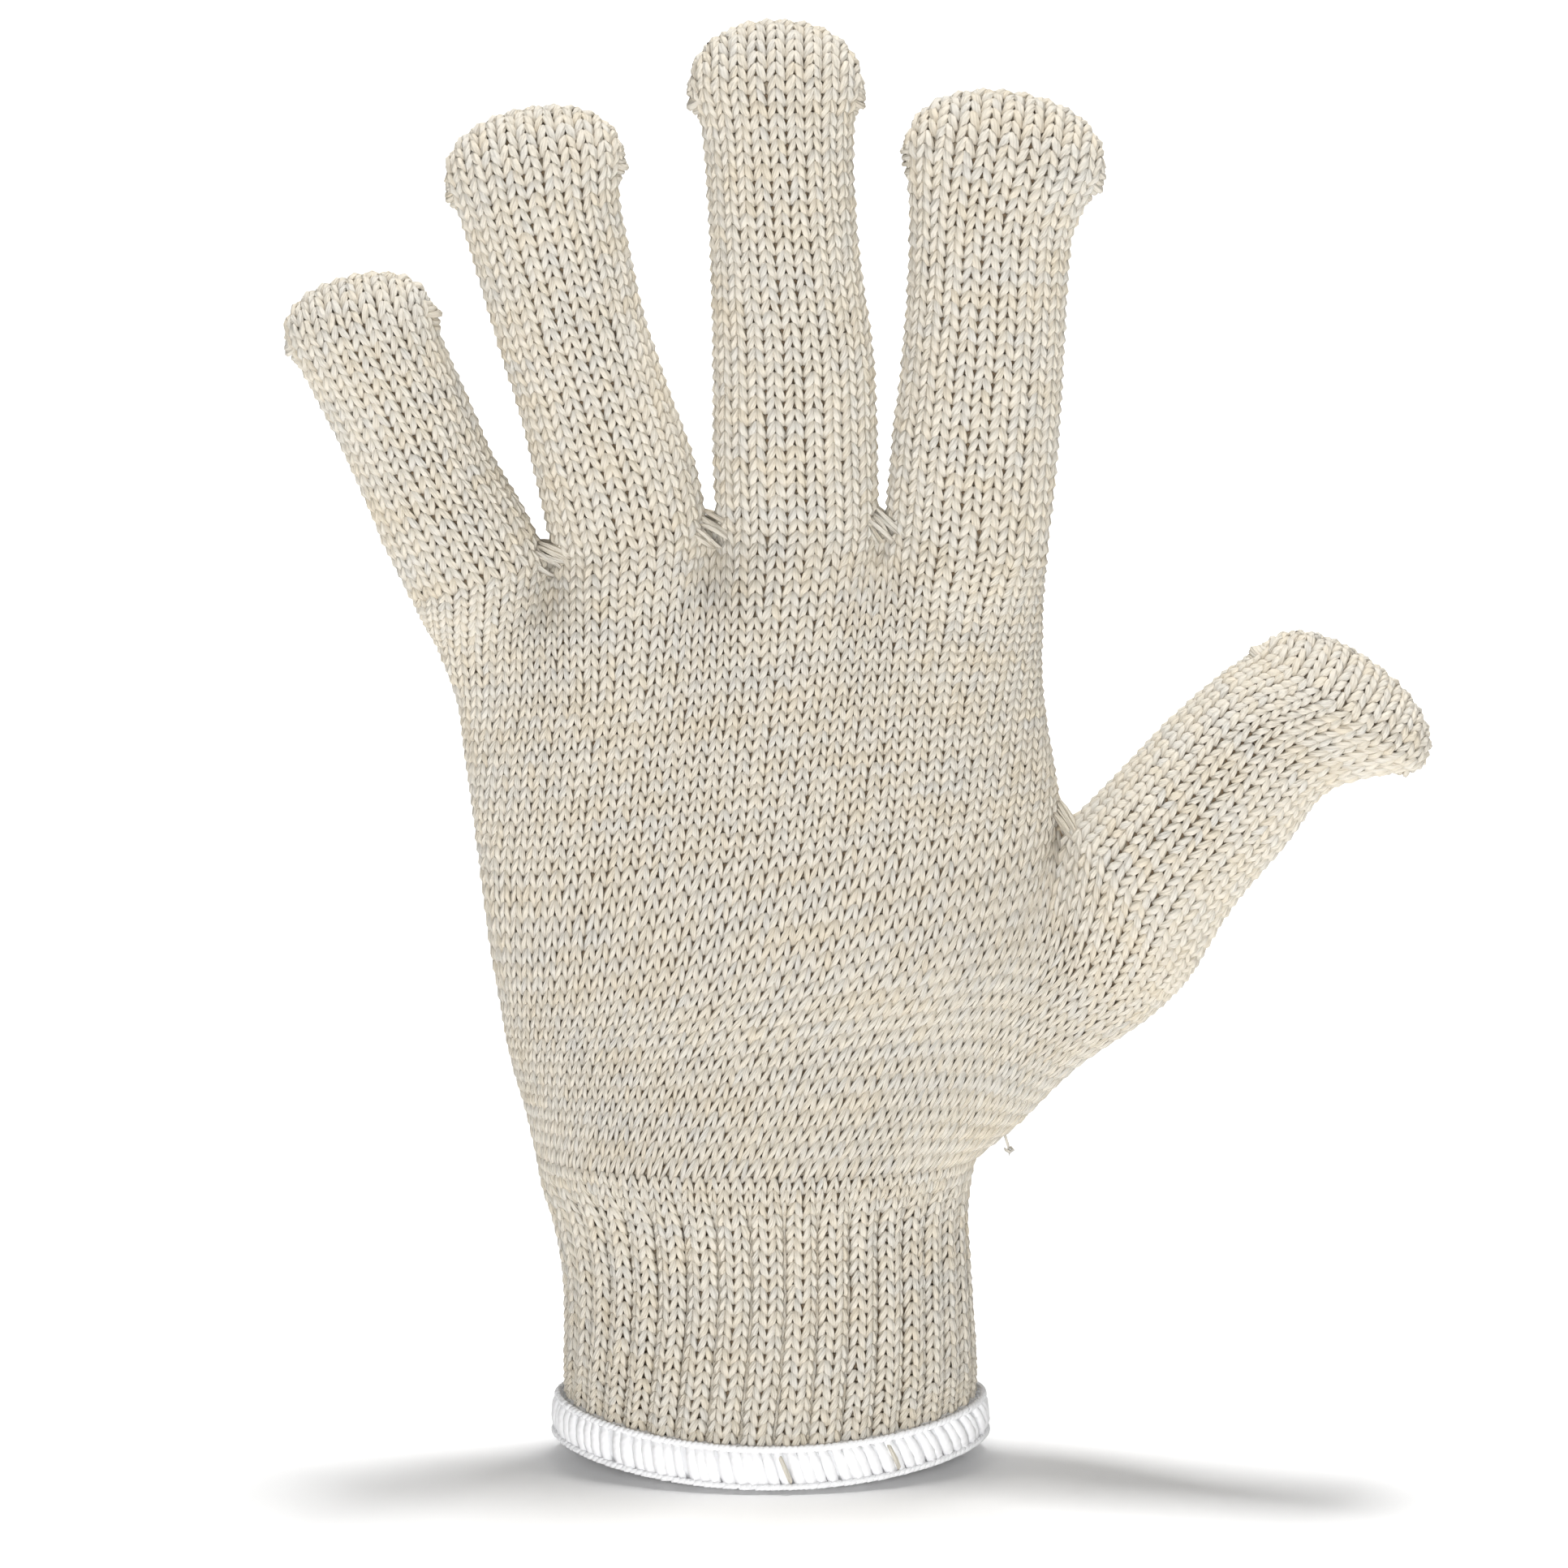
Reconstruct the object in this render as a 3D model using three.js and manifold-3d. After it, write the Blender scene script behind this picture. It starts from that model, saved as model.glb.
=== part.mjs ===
// A string knit work glove, in the shape it has when worn, with its thumb to the right.
// Millimetres. +Z runs from the cuff to the fingertips, +X to the thumb, -Y to the side looked at.
// The origin is the centre of the cuff's mouth, where the wrist goes in.

import * as THREE from 'three';
import { mergeVertices } from 'three/addons/utils/BufferGeometryUtils.js';
import Module from 'manifold-3d';

const wasm = await Module();
wasm.setup();

// Driving sizes of the hand.
const HAND_LENGTH = 196;
const PALM_WIDTH = 102;
const PALM_DEPTH = 31;
const FINGER_DEPTH = 19;
const THUMB_DEPTH = 24;
const KNIT_WALL = 2;

// Driving sizes of the cuff and of the thread sewn over its edge.
const CUFF_LENGTH = 54;
const RIB_COUNT = 38;
const RIB_HEIGHT = 0.9;
const HEM_HEIGHT = 7.5;
const HEM_THREAD = 1.6;
const HEM_FLOOR = 2.2;
const HEM_RISE = 3.5;

// Clearances: between pieces that meet, and how far a cutting shape runs past its work.
const GAP = 0.3;
const OVERRUN = 1;

// How finely the knitted tubes are faceted.
const PALM_SIDES = 40;
const FINGER_SIDES = 18;
const RINGS_PER_ROW = 1;

// A tube is a table of flat rows. A row holds its left and right edge, each as across (a share of
// PALM_WIDTH from the middle of the mouth) and up (a share of the length that the table belongs to),
// then its depth (a share of the table's depth size), its lean to the back (a share of PALM_DEPTH)
// and its arch (how far its middle stands above its ends, a share of the same length as up).
const COLUMNS = ['leftAcross', 'leftUp', 'rightAcross', 'rightUp', 'depth', 'lean', 'arch'];

// The wrist row is where the palm and the cuff meet.
const WRIST = [-0.404, 0, 0.352, 0, 1.35, 0, 0];

const PALM_ROWS = [
  WRIST,
  [-0.423, 0.037, 0.391, 0.037, 1.27, 0.00, 0],
  [-0.451, 0.088, 0.446, 0.088, 1.18, 0.01, 0],
  [-0.473, 0.167, 0.481, 0.167, 1.10, 0.02, 0],
  [-0.490, 0.246, 0.497, 0.246, 1.04, 0.02, 0],
  [-0.510, 0.318, 0.489, 0.318, 1.00, 0.02, 0],
  [-0.522, 0.397, 0.464, 0.397, 0.96, 0.02, 0],
  [-0.556, 0.455, 0.455, 0.462, 0.88, 0.01, 0.010],
  [-0.577, 0.475, 0.455, 0.494, 0.74, 0.00, 0.029],
  [-0.593, 0.4885, 0.455, 0.523, 0.50, 0.00, 0.0475],
];

// The first row of a finger lies inside the palm, the second is where its stall begins, and the
// last is at the two knitted ears below the rounded tip. tipRise is the tip's height over them.
const FINGERS = [
  {
    name: 'little_finger',
    tipRise: 0.040,
    rows: [
      [-0.536, 0.455, -0.337, 0.483, 0.92, 0.00, 0],
      [-0.602, 0.496, -0.374, 0.534, 0.98, 0.00, 0],
      [-0.646, 0.544, -0.418, 0.583, 0.96, -0.03, 0],
      [-0.688, 0.599, -0.463, 0.624, 0.94, -0.07, 0],
      [-0.731, 0.651, -0.503, 0.676, 0.92, -0.12, 0],
      [-0.772, 0.696, -0.541, 0.724, 0.90, -0.19, 0],
      [-0.801, 0.727, -0.562, 0.760, 0.84, -0.24, 0],
    ],
  },
  {
    name: 'ring_finger',
    tipRise: 0.052,
    rows: [
      [-0.343, 0.476, -0.110, 0.491, 0.98, 0.00, 0],
      [-0.364, 0.535, -0.106, 0.5575, 1.06, 0.00, 0],
      [-0.387, 0.590, -0.129, 0.620, 1.02, -0.01, 0],
      [-0.418, 0.660, -0.174, 0.688, 1.00, -0.03, 0],
      [-0.453, 0.722, -0.213, 0.751, 0.98, -0.07, 0],
      [-0.485, 0.782, -0.236, 0.809, 0.96, -0.12, 0],
      [-0.508, 0.825, -0.251, 0.8525, 0.94, -0.16, 0],
      [-0.533, 0.859, -0.243, 0.889, 0.88, -0.19, 0],
    ],
  },
  {
    name: 'middle_finger',
    tipRise: 0.0597,
    rows: [
      [-0.080, 0.494, 0.172, 0.498, 1.00, 0.00, 0],
      [-0.091, 0.559, 0.1785, 0.5626, 1.08, 0.00, 0],
      [-0.096, 0.627, 0.177, 0.630, 1.06, 0.00, 0],
      [-0.096, 0.714, 0.169, 0.7165, 1.04, -0.02, 0],
      [-0.100, 0.793, 0.147, 0.796, 1.00, -0.05, 0],
      [-0.107, 0.872, 0.136, 0.876, 0.98, -0.10, 0],
      [-0.118, 0.9187, 0.139, 0.921, 0.94, -0.14, 0],
      [-0.135, 0.9396, 0.151, 0.941, 0.88, -0.16, 0],
    ],
  },
  {
    name: 'index_finger',
    tipRise: 0.0576,
    rows: [
      [0.199, 0.494, 0.442, 0.4835, 1.00, 0.00, 0],
      [0.191, 0.559, 0.4615, 0.534, 1.08, 0.00, 0],
      [0.203, 0.636, 0.478, 0.627, 1.06, -0.01, 0],
      [0.221, 0.721, 0.486, 0.710, 1.04, -0.04, 0],
      [0.229, 0.793, 0.492, 0.782, 1.00, -0.09, 0],
      [0.229, 0.843, 0.503, 0.825, 0.96, -0.13, 0],
      [0.220, 0.895, 0.548, 0.869, 0.88, -0.17, 0],
    ],
  },
];

// The thumb's first three rows lie inside the ball of the thumb, and the fourth begins its stall.
const THUMB = {
  name: 'thumb',
  tipRise: 0.0468,
  rows: [
    [0.082, 0.102, 0.374, 0.0115, 1.40, 0.00, 0],
    [0.2335, 0.1885, 0.5055, 0.064, 1.38, -0.05, 0],
    [0.385, 0.2496, 0.632, 0.119, 1.22, -0.12, 0],
    [0.504, 0.3065, 0.720, 0.181, 1.04, -0.20, 0],
    [0.577, 0.348, 0.776, 0.2345, 0.98, -0.27, 0],
    [0.659, 0.397, 0.861, 0.2906, 0.95, -0.34, 0],
    [0.742, 0.439, 0.934, 0.342, 0.90, -0.41, 0],
    [0.812, 0.466, 1.082, 0.3626, 0.80, -0.46, 0],
  ],
};
const FINGER_STALL_ROW = 1;
const THUMB_STALL_ROW = 3;

// How a rounded tip closes over the ear row: shares of its rise, of the ears' width and of depth.
const TIP_COLUMNS = ['rise', 'width', 'depth'];
const TIP_ROWS = [
  [0.32, 0.90, 0.90],
  [0.66, 0.72, 0.70],
  [0.90, 0.44, 0.40],
  [1.00, 0.20, 0.16],
];

// The cuff's rows above its hem, with up as a share of CUFF_LENGTH and the height of its ribs.
const CUFF_MOUTH = { leftAcross: -0.356, rightAcross: 0.353, depth: 1.40 };
const CUFF_COLUMNS = ['leftAcross', 'rightAcross', 'up', 'depth', 'rib'];
const CUFF_ROWS = [
  [-0.357, 0.353, 0.32, 1.38, 1.0],
  [-0.356, 0.3475, 0.475, 1.34, 1.0],
  [-0.360, 0.342, 0.63, 1.30, 1.0],
  [-0.376, 0.3365, 0.79, 1.30, 0.9],
  [-0.393, 0.3407, 0.89, 1.33, 0.5],
];

// How square the sections are: 2 is an ellipse, more is a fuller palm.
const ROUND = 2;
const FULL = 2.3;

// Names the values of a table's row by its columns.
function named(columns, row) {
  return Object.fromEntries(columns.map((column, index) => [column, row[index]]));
}

// A row of the hand in millimetres, drawn in on all sides by inset.
function handRow(shares, depthSize, inset) {
  const row = named(COLUMNS, shares);
  const left = new THREE.Vector3(row.leftAcross * PALM_WIDTH, 0, CUFF_LENGTH + row.leftUp * HAND_LENGTH);
  const right = new THREE.Vector3(row.rightAcross * PALM_WIDTH, 0, CUFF_LENGTH + row.rightUp * HAND_LENGTH);
  const across = right.clone().sub(left).normalize();
  return {
    left: left.addScaledVector(across, inset),
    right: right.addScaledVector(across, -inset),
    halfDepth: (row.depth * depthSize) / 2 - inset,
    lean: row.lean * PALM_DEPTH,
    arch: row.arch * HAND_LENGTH,
    rib: 0,
  };
}

// The direction along the tube at a row, square to its width.
function upOf(row) {
  const across = row.right.clone().sub(row.left).normalize();
  return new THREE.Vector3(-across.z, 0, across.x);
}

// A copy of a row moved along its tube, with its width and depth scaled.
function moved(row, rise, widthShare = 1, depthShare = 1) {
  const middle = row.left.clone().add(row.right).multiplyScalar(0.5);
  const half = row.right.clone().sub(row.left).multiplyScalar(widthShare / 2);
  middle.addScaledVector(upOf(row), rise);
  return {
    ...row,
    left: middle.clone().sub(half),
    right: middle.clone().add(half),
    halfDepth: row.halfDepth * depthShare,
  };
}

// All rows of a finger or thumb, with its rounded tip.
function stallRows(stall, depthSize, inset) {
  const rows = stall.rows.map((shares) => handRow(shares, depthSize, inset));
  const ears = rows[rows.length - 1];
  const rise = stall.tipRise * HAND_LENGTH - inset;
  for (const shares of TIP_ROWS) {
    const tip = named(TIP_COLUMNS, shares);
    rows.push(moved(ears, rise * tip.rise, tip.width, tip.depth));
  }
  return rows;
}

// The palm's rows. Its hollow stops short of the top and runs out through the wrist.
function palmRows(inset) {
  const rows = PALM_ROWS.map((shares) => handRow(shares, PALM_DEPTH, inset));
  if (inset === 0) {
    return rows;
  }
  const top = rows.pop();
  return [moved(rows[0], -OVERRUN), ...rows, moved(top, -inset)];
}

// Smooth curves through the rows: one for each edge and two for the section's numbers.
function tubeOf(rows) {
  return {
    spans: rows.length - 1,
    left: new THREE.CatmullRomCurve3(rows.map((row) => row.left)),
    right: new THREE.CatmullRomCurve3(rows.map((row) => row.right)),
    shape: new THREE.CatmullRomCurve3(rows.map((row) => new THREE.Vector3(row.halfDepth, row.lean, row.arch))),
    ribs: rows.map((row) => row.rib),
  };
}

// The row of a tube at a place counted in rows from its first.
function rowAt(tube, place) {
  const share = Math.min(place / tube.spans, 1);
  const shape = tube.shape.getPoint(share);
  const below = Math.min(Math.floor(place), tube.spans - 1);
  return {
    left: tube.left.getPoint(share),
    right: tube.right.getPoint(share),
    halfDepth: shape.x,
    lean: shape.y,
    arch: shape.z,
    rib: THREE.MathUtils.lerp(tube.ribs[below], tube.ribs[below + 1], place - below),
  };
}

// One closed ring of points round a row, pushed out by outset. Ribs stand on every second point.
function ring(row, sides, squareness, outset = 0) {
  const across = row.right.clone().sub(row.left);
  const halfWidth = across.length() / 2;
  const middle = row.left.clone().add(row.right).multiplyScalar(0.5);
  const up = upOf(row);
  across.normalize();
  const points = [];
  for (let index = 0; index < sides; index += 1) {
    const angle = (2 * Math.PI * index) / sides;
    const along = Math.sign(Math.cos(angle)) * Math.abs(Math.cos(angle)) ** (2 / squareness);
    const back = Math.sign(Math.sin(angle)) * Math.abs(Math.sin(angle)) ** (2 / squareness);
    const growth = outset + (index % 2 === 0 ? row.rib : 0);
    const sideways = (halfWidth + growth) * along;
    const point = middle.clone();
    point.addScaledVector(across, sideways);
    point.addScaledVector(up, row.arch * (1 - (sideways / halfWidth) ** 2));
    point.y = row.lean + (row.halfDepth + growth) * back;
    points.push(point);
  }
  return points;
}

// The solid of a closed mesh given as points and triangles.
function solidOf(points, triangles) {
  const geometry = new THREE.BufferGeometry();
  geometry.setAttribute('position', new THREE.Float32BufferAttribute(points.flatMap((p) => [p.x, p.y, p.z]), 3));
  geometry.setIndex(triangles);
  const merged = mergeVertices(geometry);
  return new wasm.Manifold(new wasm.Mesh({
    numProp: 3,
    vertProperties: new Float32Array(merged.attributes.position.array),
    triVerts: new Uint32Array(merged.index.array),
  }));
}

// Two triangles of the quad a, b, c, d.
function quad(a, b, c, d) {
  return [a, b, c, a, c, d];
}

// The solid through stacked rings. Its ends are strips from each ring's front to its back.
function loft(rings) {
  const sides = rings[0].length;
  const last = (rings.length - 1) * sides;
  const triangles = [];
  for (let level = 0; level < rings.length - 1; level += 1) {
    for (let index = 0; index < sides; index += 1) {
      const next = (index + 1) % sides;
      const low = level * sides;
      const high = low + sides;
      triangles.push(...quad(low + index, low + next, high + next, high + index));
    }
  }
  for (let index = 0; index < sides / 2; index += 1) {
    const mirror = (sides - index) % sides;
    const mirrorNext = sides - index - 1;
    const strip = [index, index + 1, mirrorNext, mirror];
    if (index === 0) {
      triangles.push(strip[0], strip[2], strip[1]);
      triangles.push(last + strip[0], last + strip[1], last + strip[2]);
    } else if (index === sides / 2 - 1) {
      triangles.push(strip[0], strip[3], strip[1]);
      triangles.push(last + strip[0], last + strip[1], last + strip[3]);
    } else {
      triangles.push(...quad(strip[3], strip[2], strip[1], strip[0]));
      triangles.push(...quad(last + strip[0], last + strip[1], last + strip[2], last + strip[3]));
    }
  }
  return solidOf(rings.flat(), triangles);
}

// A closed band: rings stacked round a section that comes back to its start.
function band(rings) {
  const sides = rings[0].length;
  const triangles = [];
  for (let level = 0; level < rings.length; level += 1) {
    const low = level * sides;
    const high = ((level + 1) % rings.length) * sides;
    for (let index = 0; index < sides; index += 1) {
      const next = (index + 1) % sides;
      triangles.push(...quad(low + index, low + next, high + next, high + index));
    }
  }
  return solidOf(rings.flat(), triangles);
}

// A tube between two places, lofted with RINGS_PER_ROW rings from row to row.
function tubeSolid(tube, from, to, sides, squareness) {
  const steps = Math.ceil((to - from) * RINGS_PER_ROW);
  const rings = [];
  for (let step = 0; step <= steps; step += 1) {
    rings.push(ring(rowAt(tube, from + ((to - from) * step) / steps), sides, squareness));
  }
  return loft(rings);
}

// A place a little below a row, by a distance measured between the middles of the rows.
function placeBelow(rows, index, distance) {
  const middle = (row) => row.left.clone().add(row.right).multiplyScalar(0.5);
  return index - distance / middle(rows[index]).distanceTo(middle(rows[index - 1]));
}

// The three solids of a finger or thumb: its stall, its stub in the palm and its hollow.
function makeStall(stall, depthSize, stallRow) {
  const rows = stallRows(stall, depthSize, 0);
  const outer = tubeOf(rows);
  const inner = tubeOf(stallRows(stall, depthSize, KNIT_WALL));
  const hollow = tubeSolid(inner, 0, inner.spans, FINGER_SIDES, ROUND);
  const skin = tubeSolid(outer, stallRow, outer.spans, FINGER_SIDES, ROUND);
  const stub = tubeSolid(outer, 0, placeBelow(rows, stallRow, GAP), FINGER_SIDES, ROUND);
  return { name: stall.name, solid: skin.subtract(hollow), stub, hollow };
}

// The palm, with the stubs that the fingers and thumb stand on, and one hollow through all.
function makePalm(stalls) {
  const outer = tubeOf(palmRows(0));
  const inner = tubeOf(palmRows(KNIT_WALL));
  const skin = [tubeSolid(outer, 0, outer.spans, PALM_SIDES, FULL), ...stalls.map((stall) => stall.stub)];
  const hollow = [tubeSolid(inner, 0, inner.spans, PALM_SIDES, FULL), ...stalls.map((stall) => stall.hollow)];
  return wasm.Manifold.union(skin).subtract(wasm.Manifold.union(hollow));
}

// A row of the cuff at a height, drawn in by inset and drooping by droop at its front and back.
function cuffRow({ leftAcross, rightAcross, depth }, height, inset, droop, rib) {
  return {
    left: new THREE.Vector3(leftAcross * PALM_WIDTH + inset, 0, height + droop),
    right: new THREE.Vector3(rightAcross * PALM_WIDTH - inset, 0, height + droop),
    halfDepth: (depth * PALM_DEPTH) / 2 - inset,
    lean: 0,
    arch: -droop,
    rib: rib * RIB_HEIGHT,
  };
}

// The cuff's rows: its plain edge in the hem, its ribbed length and its plain end at the wrist.
function cuffRows(inset, overrun) {
  const wrist = named(COLUMNS, WRIST);
  const seat = HEM_FLOOR + GAP - overrun;
  const ribbed = CUFF_ROWS.map((shares) => {
    const row = named(CUFF_COLUMNS, shares);
    return cuffRow(row, row.up * CUFF_LENGTH, inset, 0, row.rib);
  });
  return [
    cuffRow(CUFF_MOUTH, seat, inset, HEM_RISE, 0),
    cuffRow(CUFF_MOUTH, HEM_HEIGHT, inset, HEM_RISE, 0),
    ...ribbed,
    cuffRow(wrist, CUFF_LENGTH - GAP + overrun, inset, 0, 0),
  ];
}

// One straight-sided loft through the cuff's rows, with two points to each rib.
function cuffSolid(inset, overrun) {
  return loft(cuffRows(inset, overrun).map((row) => ring(row, 2 * RIB_COUNT, ROUND)));
}

function makeCuff() {
  return cuffSolid(0, 0).subtract(cuffSolid(KNIT_WALL, OVERRUN));
}

// The sewn edge: a soft channel of thread round the mouth, which the cuff's edge sits in.
function makeHem() {
  const mouth = (height) => cuffRow(CUFF_MOUTH, height, 0, HEM_RISE, 0);
  const inside = -KNIT_WALL;
  const section = [
    [inside - HEM_THREAD / 2, 0],
    [HEM_THREAD / 2, 0],
    [HEM_THREAD, HEM_HEIGHT * 0.2],
    [HEM_THREAD, HEM_HEIGHT * 0.8],
    [HEM_THREAD / 2, HEM_HEIGHT],
    [GAP, HEM_HEIGHT - GAP],
    [GAP, HEM_FLOOR],
    [inside - GAP, HEM_FLOOR],
    [inside - GAP, HEM_HEIGHT - GAP],
    [inside - HEM_THREAD / 2, HEM_HEIGHT],
    [inside - HEM_THREAD, HEM_HEIGHT * 0.8],
    [inside - HEM_THREAD, HEM_HEIGHT * 0.2],
  ];
  return band(section.map(([outset, height]) => ring(mouth(height), 2 * RIB_COUNT, ROUND, outset)));
}

const cottonKnit = new THREE.MeshStandardMaterial({ color: '#ddd5c4', roughness: 0.95, metalness: 0 });
const whiteThread = new THREE.MeshStandardMaterial({ color: '#f2f3f2', roughness: 0.8, metalness: 0 });

// A named mesh of a finished solid.
function meshOf(name, solid, material) {
  const { numProp, vertProperties, triVerts } = solid.getMesh();
  const geometry = new THREE.BufferGeometry();
  geometry.setAttribute('position', new THREE.InterleavedBufferAttribute(
    new THREE.InterleavedBuffer(vertProperties, numProp), 3, 0));
  geometry.setIndex(Array.from(triVerts));
  geometry.computeVertexNormals();
  const mesh = new THREE.Mesh(geometry, material.clone());
  mesh.name = name;
  return mesh;
}

const stalls = FINGERS.map((finger) => makeStall(finger, FINGER_DEPTH, FINGER_STALL_ROW));
stalls.push(makeStall(THUMB, THUMB_DEPTH, THUMB_STALL_ROW));

const glove = new THREE.Group();
glove.add(meshOf('palm', makePalm(stalls), cottonKnit));
for (const stall of stalls) {
  glove.add(meshOf(stall.name, stall.solid, cottonKnit));
}
glove.add(meshOf('cuff', makeCuff(), cottonKnit));
glove.add(meshOf('hem', makeHem(), whiteThread));

export default glove;
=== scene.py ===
"""The looks of a string knit work glove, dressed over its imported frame.

Every stitch of the glove is built: each one is two plump legs of yarn laid on a knitted tube. The tubes
of the fingers, thumb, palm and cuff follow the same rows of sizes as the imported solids. The darned
crotches, the eared fingertips, the sewn hem, the loose yarn end and the fuzz come on top.
"""

import logging
import math
from dataclasses import dataclass, field
from enum import Enum
from typing import NamedTuple

import bpy
import numpy as np
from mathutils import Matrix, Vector


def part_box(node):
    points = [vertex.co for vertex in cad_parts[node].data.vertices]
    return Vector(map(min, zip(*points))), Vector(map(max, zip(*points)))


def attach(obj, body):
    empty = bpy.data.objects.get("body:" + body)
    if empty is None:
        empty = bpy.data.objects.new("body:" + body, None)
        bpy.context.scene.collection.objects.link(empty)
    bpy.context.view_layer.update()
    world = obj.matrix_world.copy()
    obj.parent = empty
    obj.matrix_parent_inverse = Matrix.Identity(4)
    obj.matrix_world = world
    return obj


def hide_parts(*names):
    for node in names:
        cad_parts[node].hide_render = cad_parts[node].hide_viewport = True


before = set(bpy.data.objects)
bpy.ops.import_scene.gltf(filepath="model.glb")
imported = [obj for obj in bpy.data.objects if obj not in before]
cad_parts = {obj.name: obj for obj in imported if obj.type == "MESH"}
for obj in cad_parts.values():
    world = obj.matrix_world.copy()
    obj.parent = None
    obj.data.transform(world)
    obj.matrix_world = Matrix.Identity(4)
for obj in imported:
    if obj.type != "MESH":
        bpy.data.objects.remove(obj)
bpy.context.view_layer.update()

LOG = logging.getLogger("string_knit_glove")
MM = 0.001
BODY = "root"
SEED = 7

# Driving sizes in millimetres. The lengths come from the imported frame.
CUFF_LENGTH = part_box("palm")[0].z / MM
HAND_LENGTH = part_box("middle_finger")[1].z / MM - CUFF_LENGTH
PALM_WIDTH = 102.0
PALM_DEPTH = 31.0
FINGER_DEPTH = 19.0
THUMB_DEPTH = 24.0
KNIT_WALL = 2.0
YARN_RADIUS = 0.62

# A stitch's radius is this share of its wale's width, and it stays between the two radii.
YARN_TO_WALE = 0.235
THINNEST_YARN = 0.45
THICKEST_YARN = 0.80

# The knit's gauge: wales are the columns of stitches, and courses are the rows.
FINGER_WALES = 22
THUMB_WALES = 26
RIB_WALES = 3
COURSE_PITCH = 2.06
CUFF_COURSE_PITCH = 2.2

# How many wales the knit turns to the left down the upper palm, the lower palm and the cuff.
PALM_TWIST_WALES = 6
WRIST_TWIST_WALES = 1.5
HEM_TWIST_WALES = 3.0

# How far the wales spread apart in the middle of each face at the wrist, as a share of a turn.
WRIST_STRETCH = 0.021

# The length below the wrist over which the cuff's ribs grow out of the plain knit.
RIB_GROWTH = 9.0

# How square a section is: 2 is an ellipse, more is a fuller palm. A tip's arch is measured alike.
ROUND = 2.0
FULL = 2.3
TIP_ARCH = 2.2

# Points of a skin's grid to each wale and course, rows over a tip, and points for measuring a curve.
SAMPLES = 2
TIP_ROWS = 8
FINE_STEPS = 200
FINE_ANGLES = 361

# The range that most of a noise pattern lies in, and how far a strand's tone can go to either side.
NOISE_RANGE = {"From Min": 0.3, "From Max": 0.7}
TONE_LIMIT = 1.3

# How many loose fibres stand on a stall, and on each run of the palm and the cuff.
STALL_FIBRES = 420
PALM_FIBRES = 1100

Array = np.ndarray


class Row(NamedTuple):
    """One flat row of a knitted tube, from its left edge to its right edge.

    Across values are shares of PALM_WIDTH from the mouth's middle, up values and the arch are shares
    of HAND_LENGTH above the wrist, depth is a share of the tube's depth size, and lean is how far the
    row's middle stands towards the back, as a share of PALM_DEPTH.
    """

    left_across: float
    left_up: float
    right_across: float
    right_up: float
    depth: float
    lean: float = 0.0
    arch: float = 0.0


LITTLE_ROWS = [
    Row(-0.602, 0.496, -0.374, 0.534, 0.98),
    Row(-0.646, 0.544, -0.418, 0.583, 0.96, -0.03),
    Row(-0.688, 0.599, -0.463, 0.624, 0.94, -0.07),
    Row(-0.731, 0.651, -0.503, 0.676, 0.92, -0.12),
    Row(-0.772, 0.696, -0.541, 0.724, 0.90, -0.19),
    Row(-0.801, 0.727, -0.562, 0.760, 0.84, -0.24),
]
RING_ROWS = [
    Row(-0.364, 0.535, -0.106, 0.5575, 1.06),
    Row(-0.387, 0.590, -0.129, 0.620, 1.02, -0.01),
    Row(-0.418, 0.660, -0.174, 0.688, 1.00, -0.03),
    Row(-0.453, 0.722, -0.213, 0.751, 0.98, -0.07),
    Row(-0.485, 0.782, -0.236, 0.809, 0.96, -0.12),
    Row(-0.508, 0.825, -0.251, 0.8525, 0.94, -0.16),
    Row(-0.533, 0.859, -0.243, 0.889, 0.88, -0.19),
]
MIDDLE_ROWS = [
    Row(-0.091, 0.559, 0.1785, 0.5626, 1.08),
    Row(-0.096, 0.627, 0.177, 0.630, 1.06),
    Row(-0.096, 0.714, 0.169, 0.7165, 1.04, -0.02),
    Row(-0.100, 0.793, 0.147, 0.796, 1.00, -0.05),
    Row(-0.107, 0.872, 0.136, 0.876, 0.98, -0.10),
    Row(-0.118, 0.9187, 0.139, 0.921, 0.94, -0.14),
    Row(-0.135, 0.9396, 0.151, 0.941, 0.88, -0.16),
]
INDEX_ROWS = [
    Row(0.191, 0.559, 0.4615, 0.534, 1.08),
    Row(0.203, 0.636, 0.478, 0.627, 1.06, -0.01),
    Row(0.221, 0.721, 0.486, 0.710, 1.04, -0.04),
    Row(0.229, 0.793, 0.492, 0.782, 1.00, -0.09),
    Row(0.229, 0.843, 0.503, 0.825, 0.96, -0.13),
    Row(0.220, 0.895, 0.548, 0.869, 0.88, -0.17),
]
THUMB_ROWS = [
    Row(0.504, 0.3065, 0.720, 0.181, 1.04, -0.20),
    Row(0.577, 0.348, 0.776, 0.2345, 0.98, -0.27),
    Row(0.659, 0.397, 0.861, 0.2906, 0.95, -0.34),
    Row(0.742, 0.439, 0.934, 0.342, 0.90, -0.41),
    Row(0.812, 0.466, 1.082, 0.3626, 0.80, -0.46),
]

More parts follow.
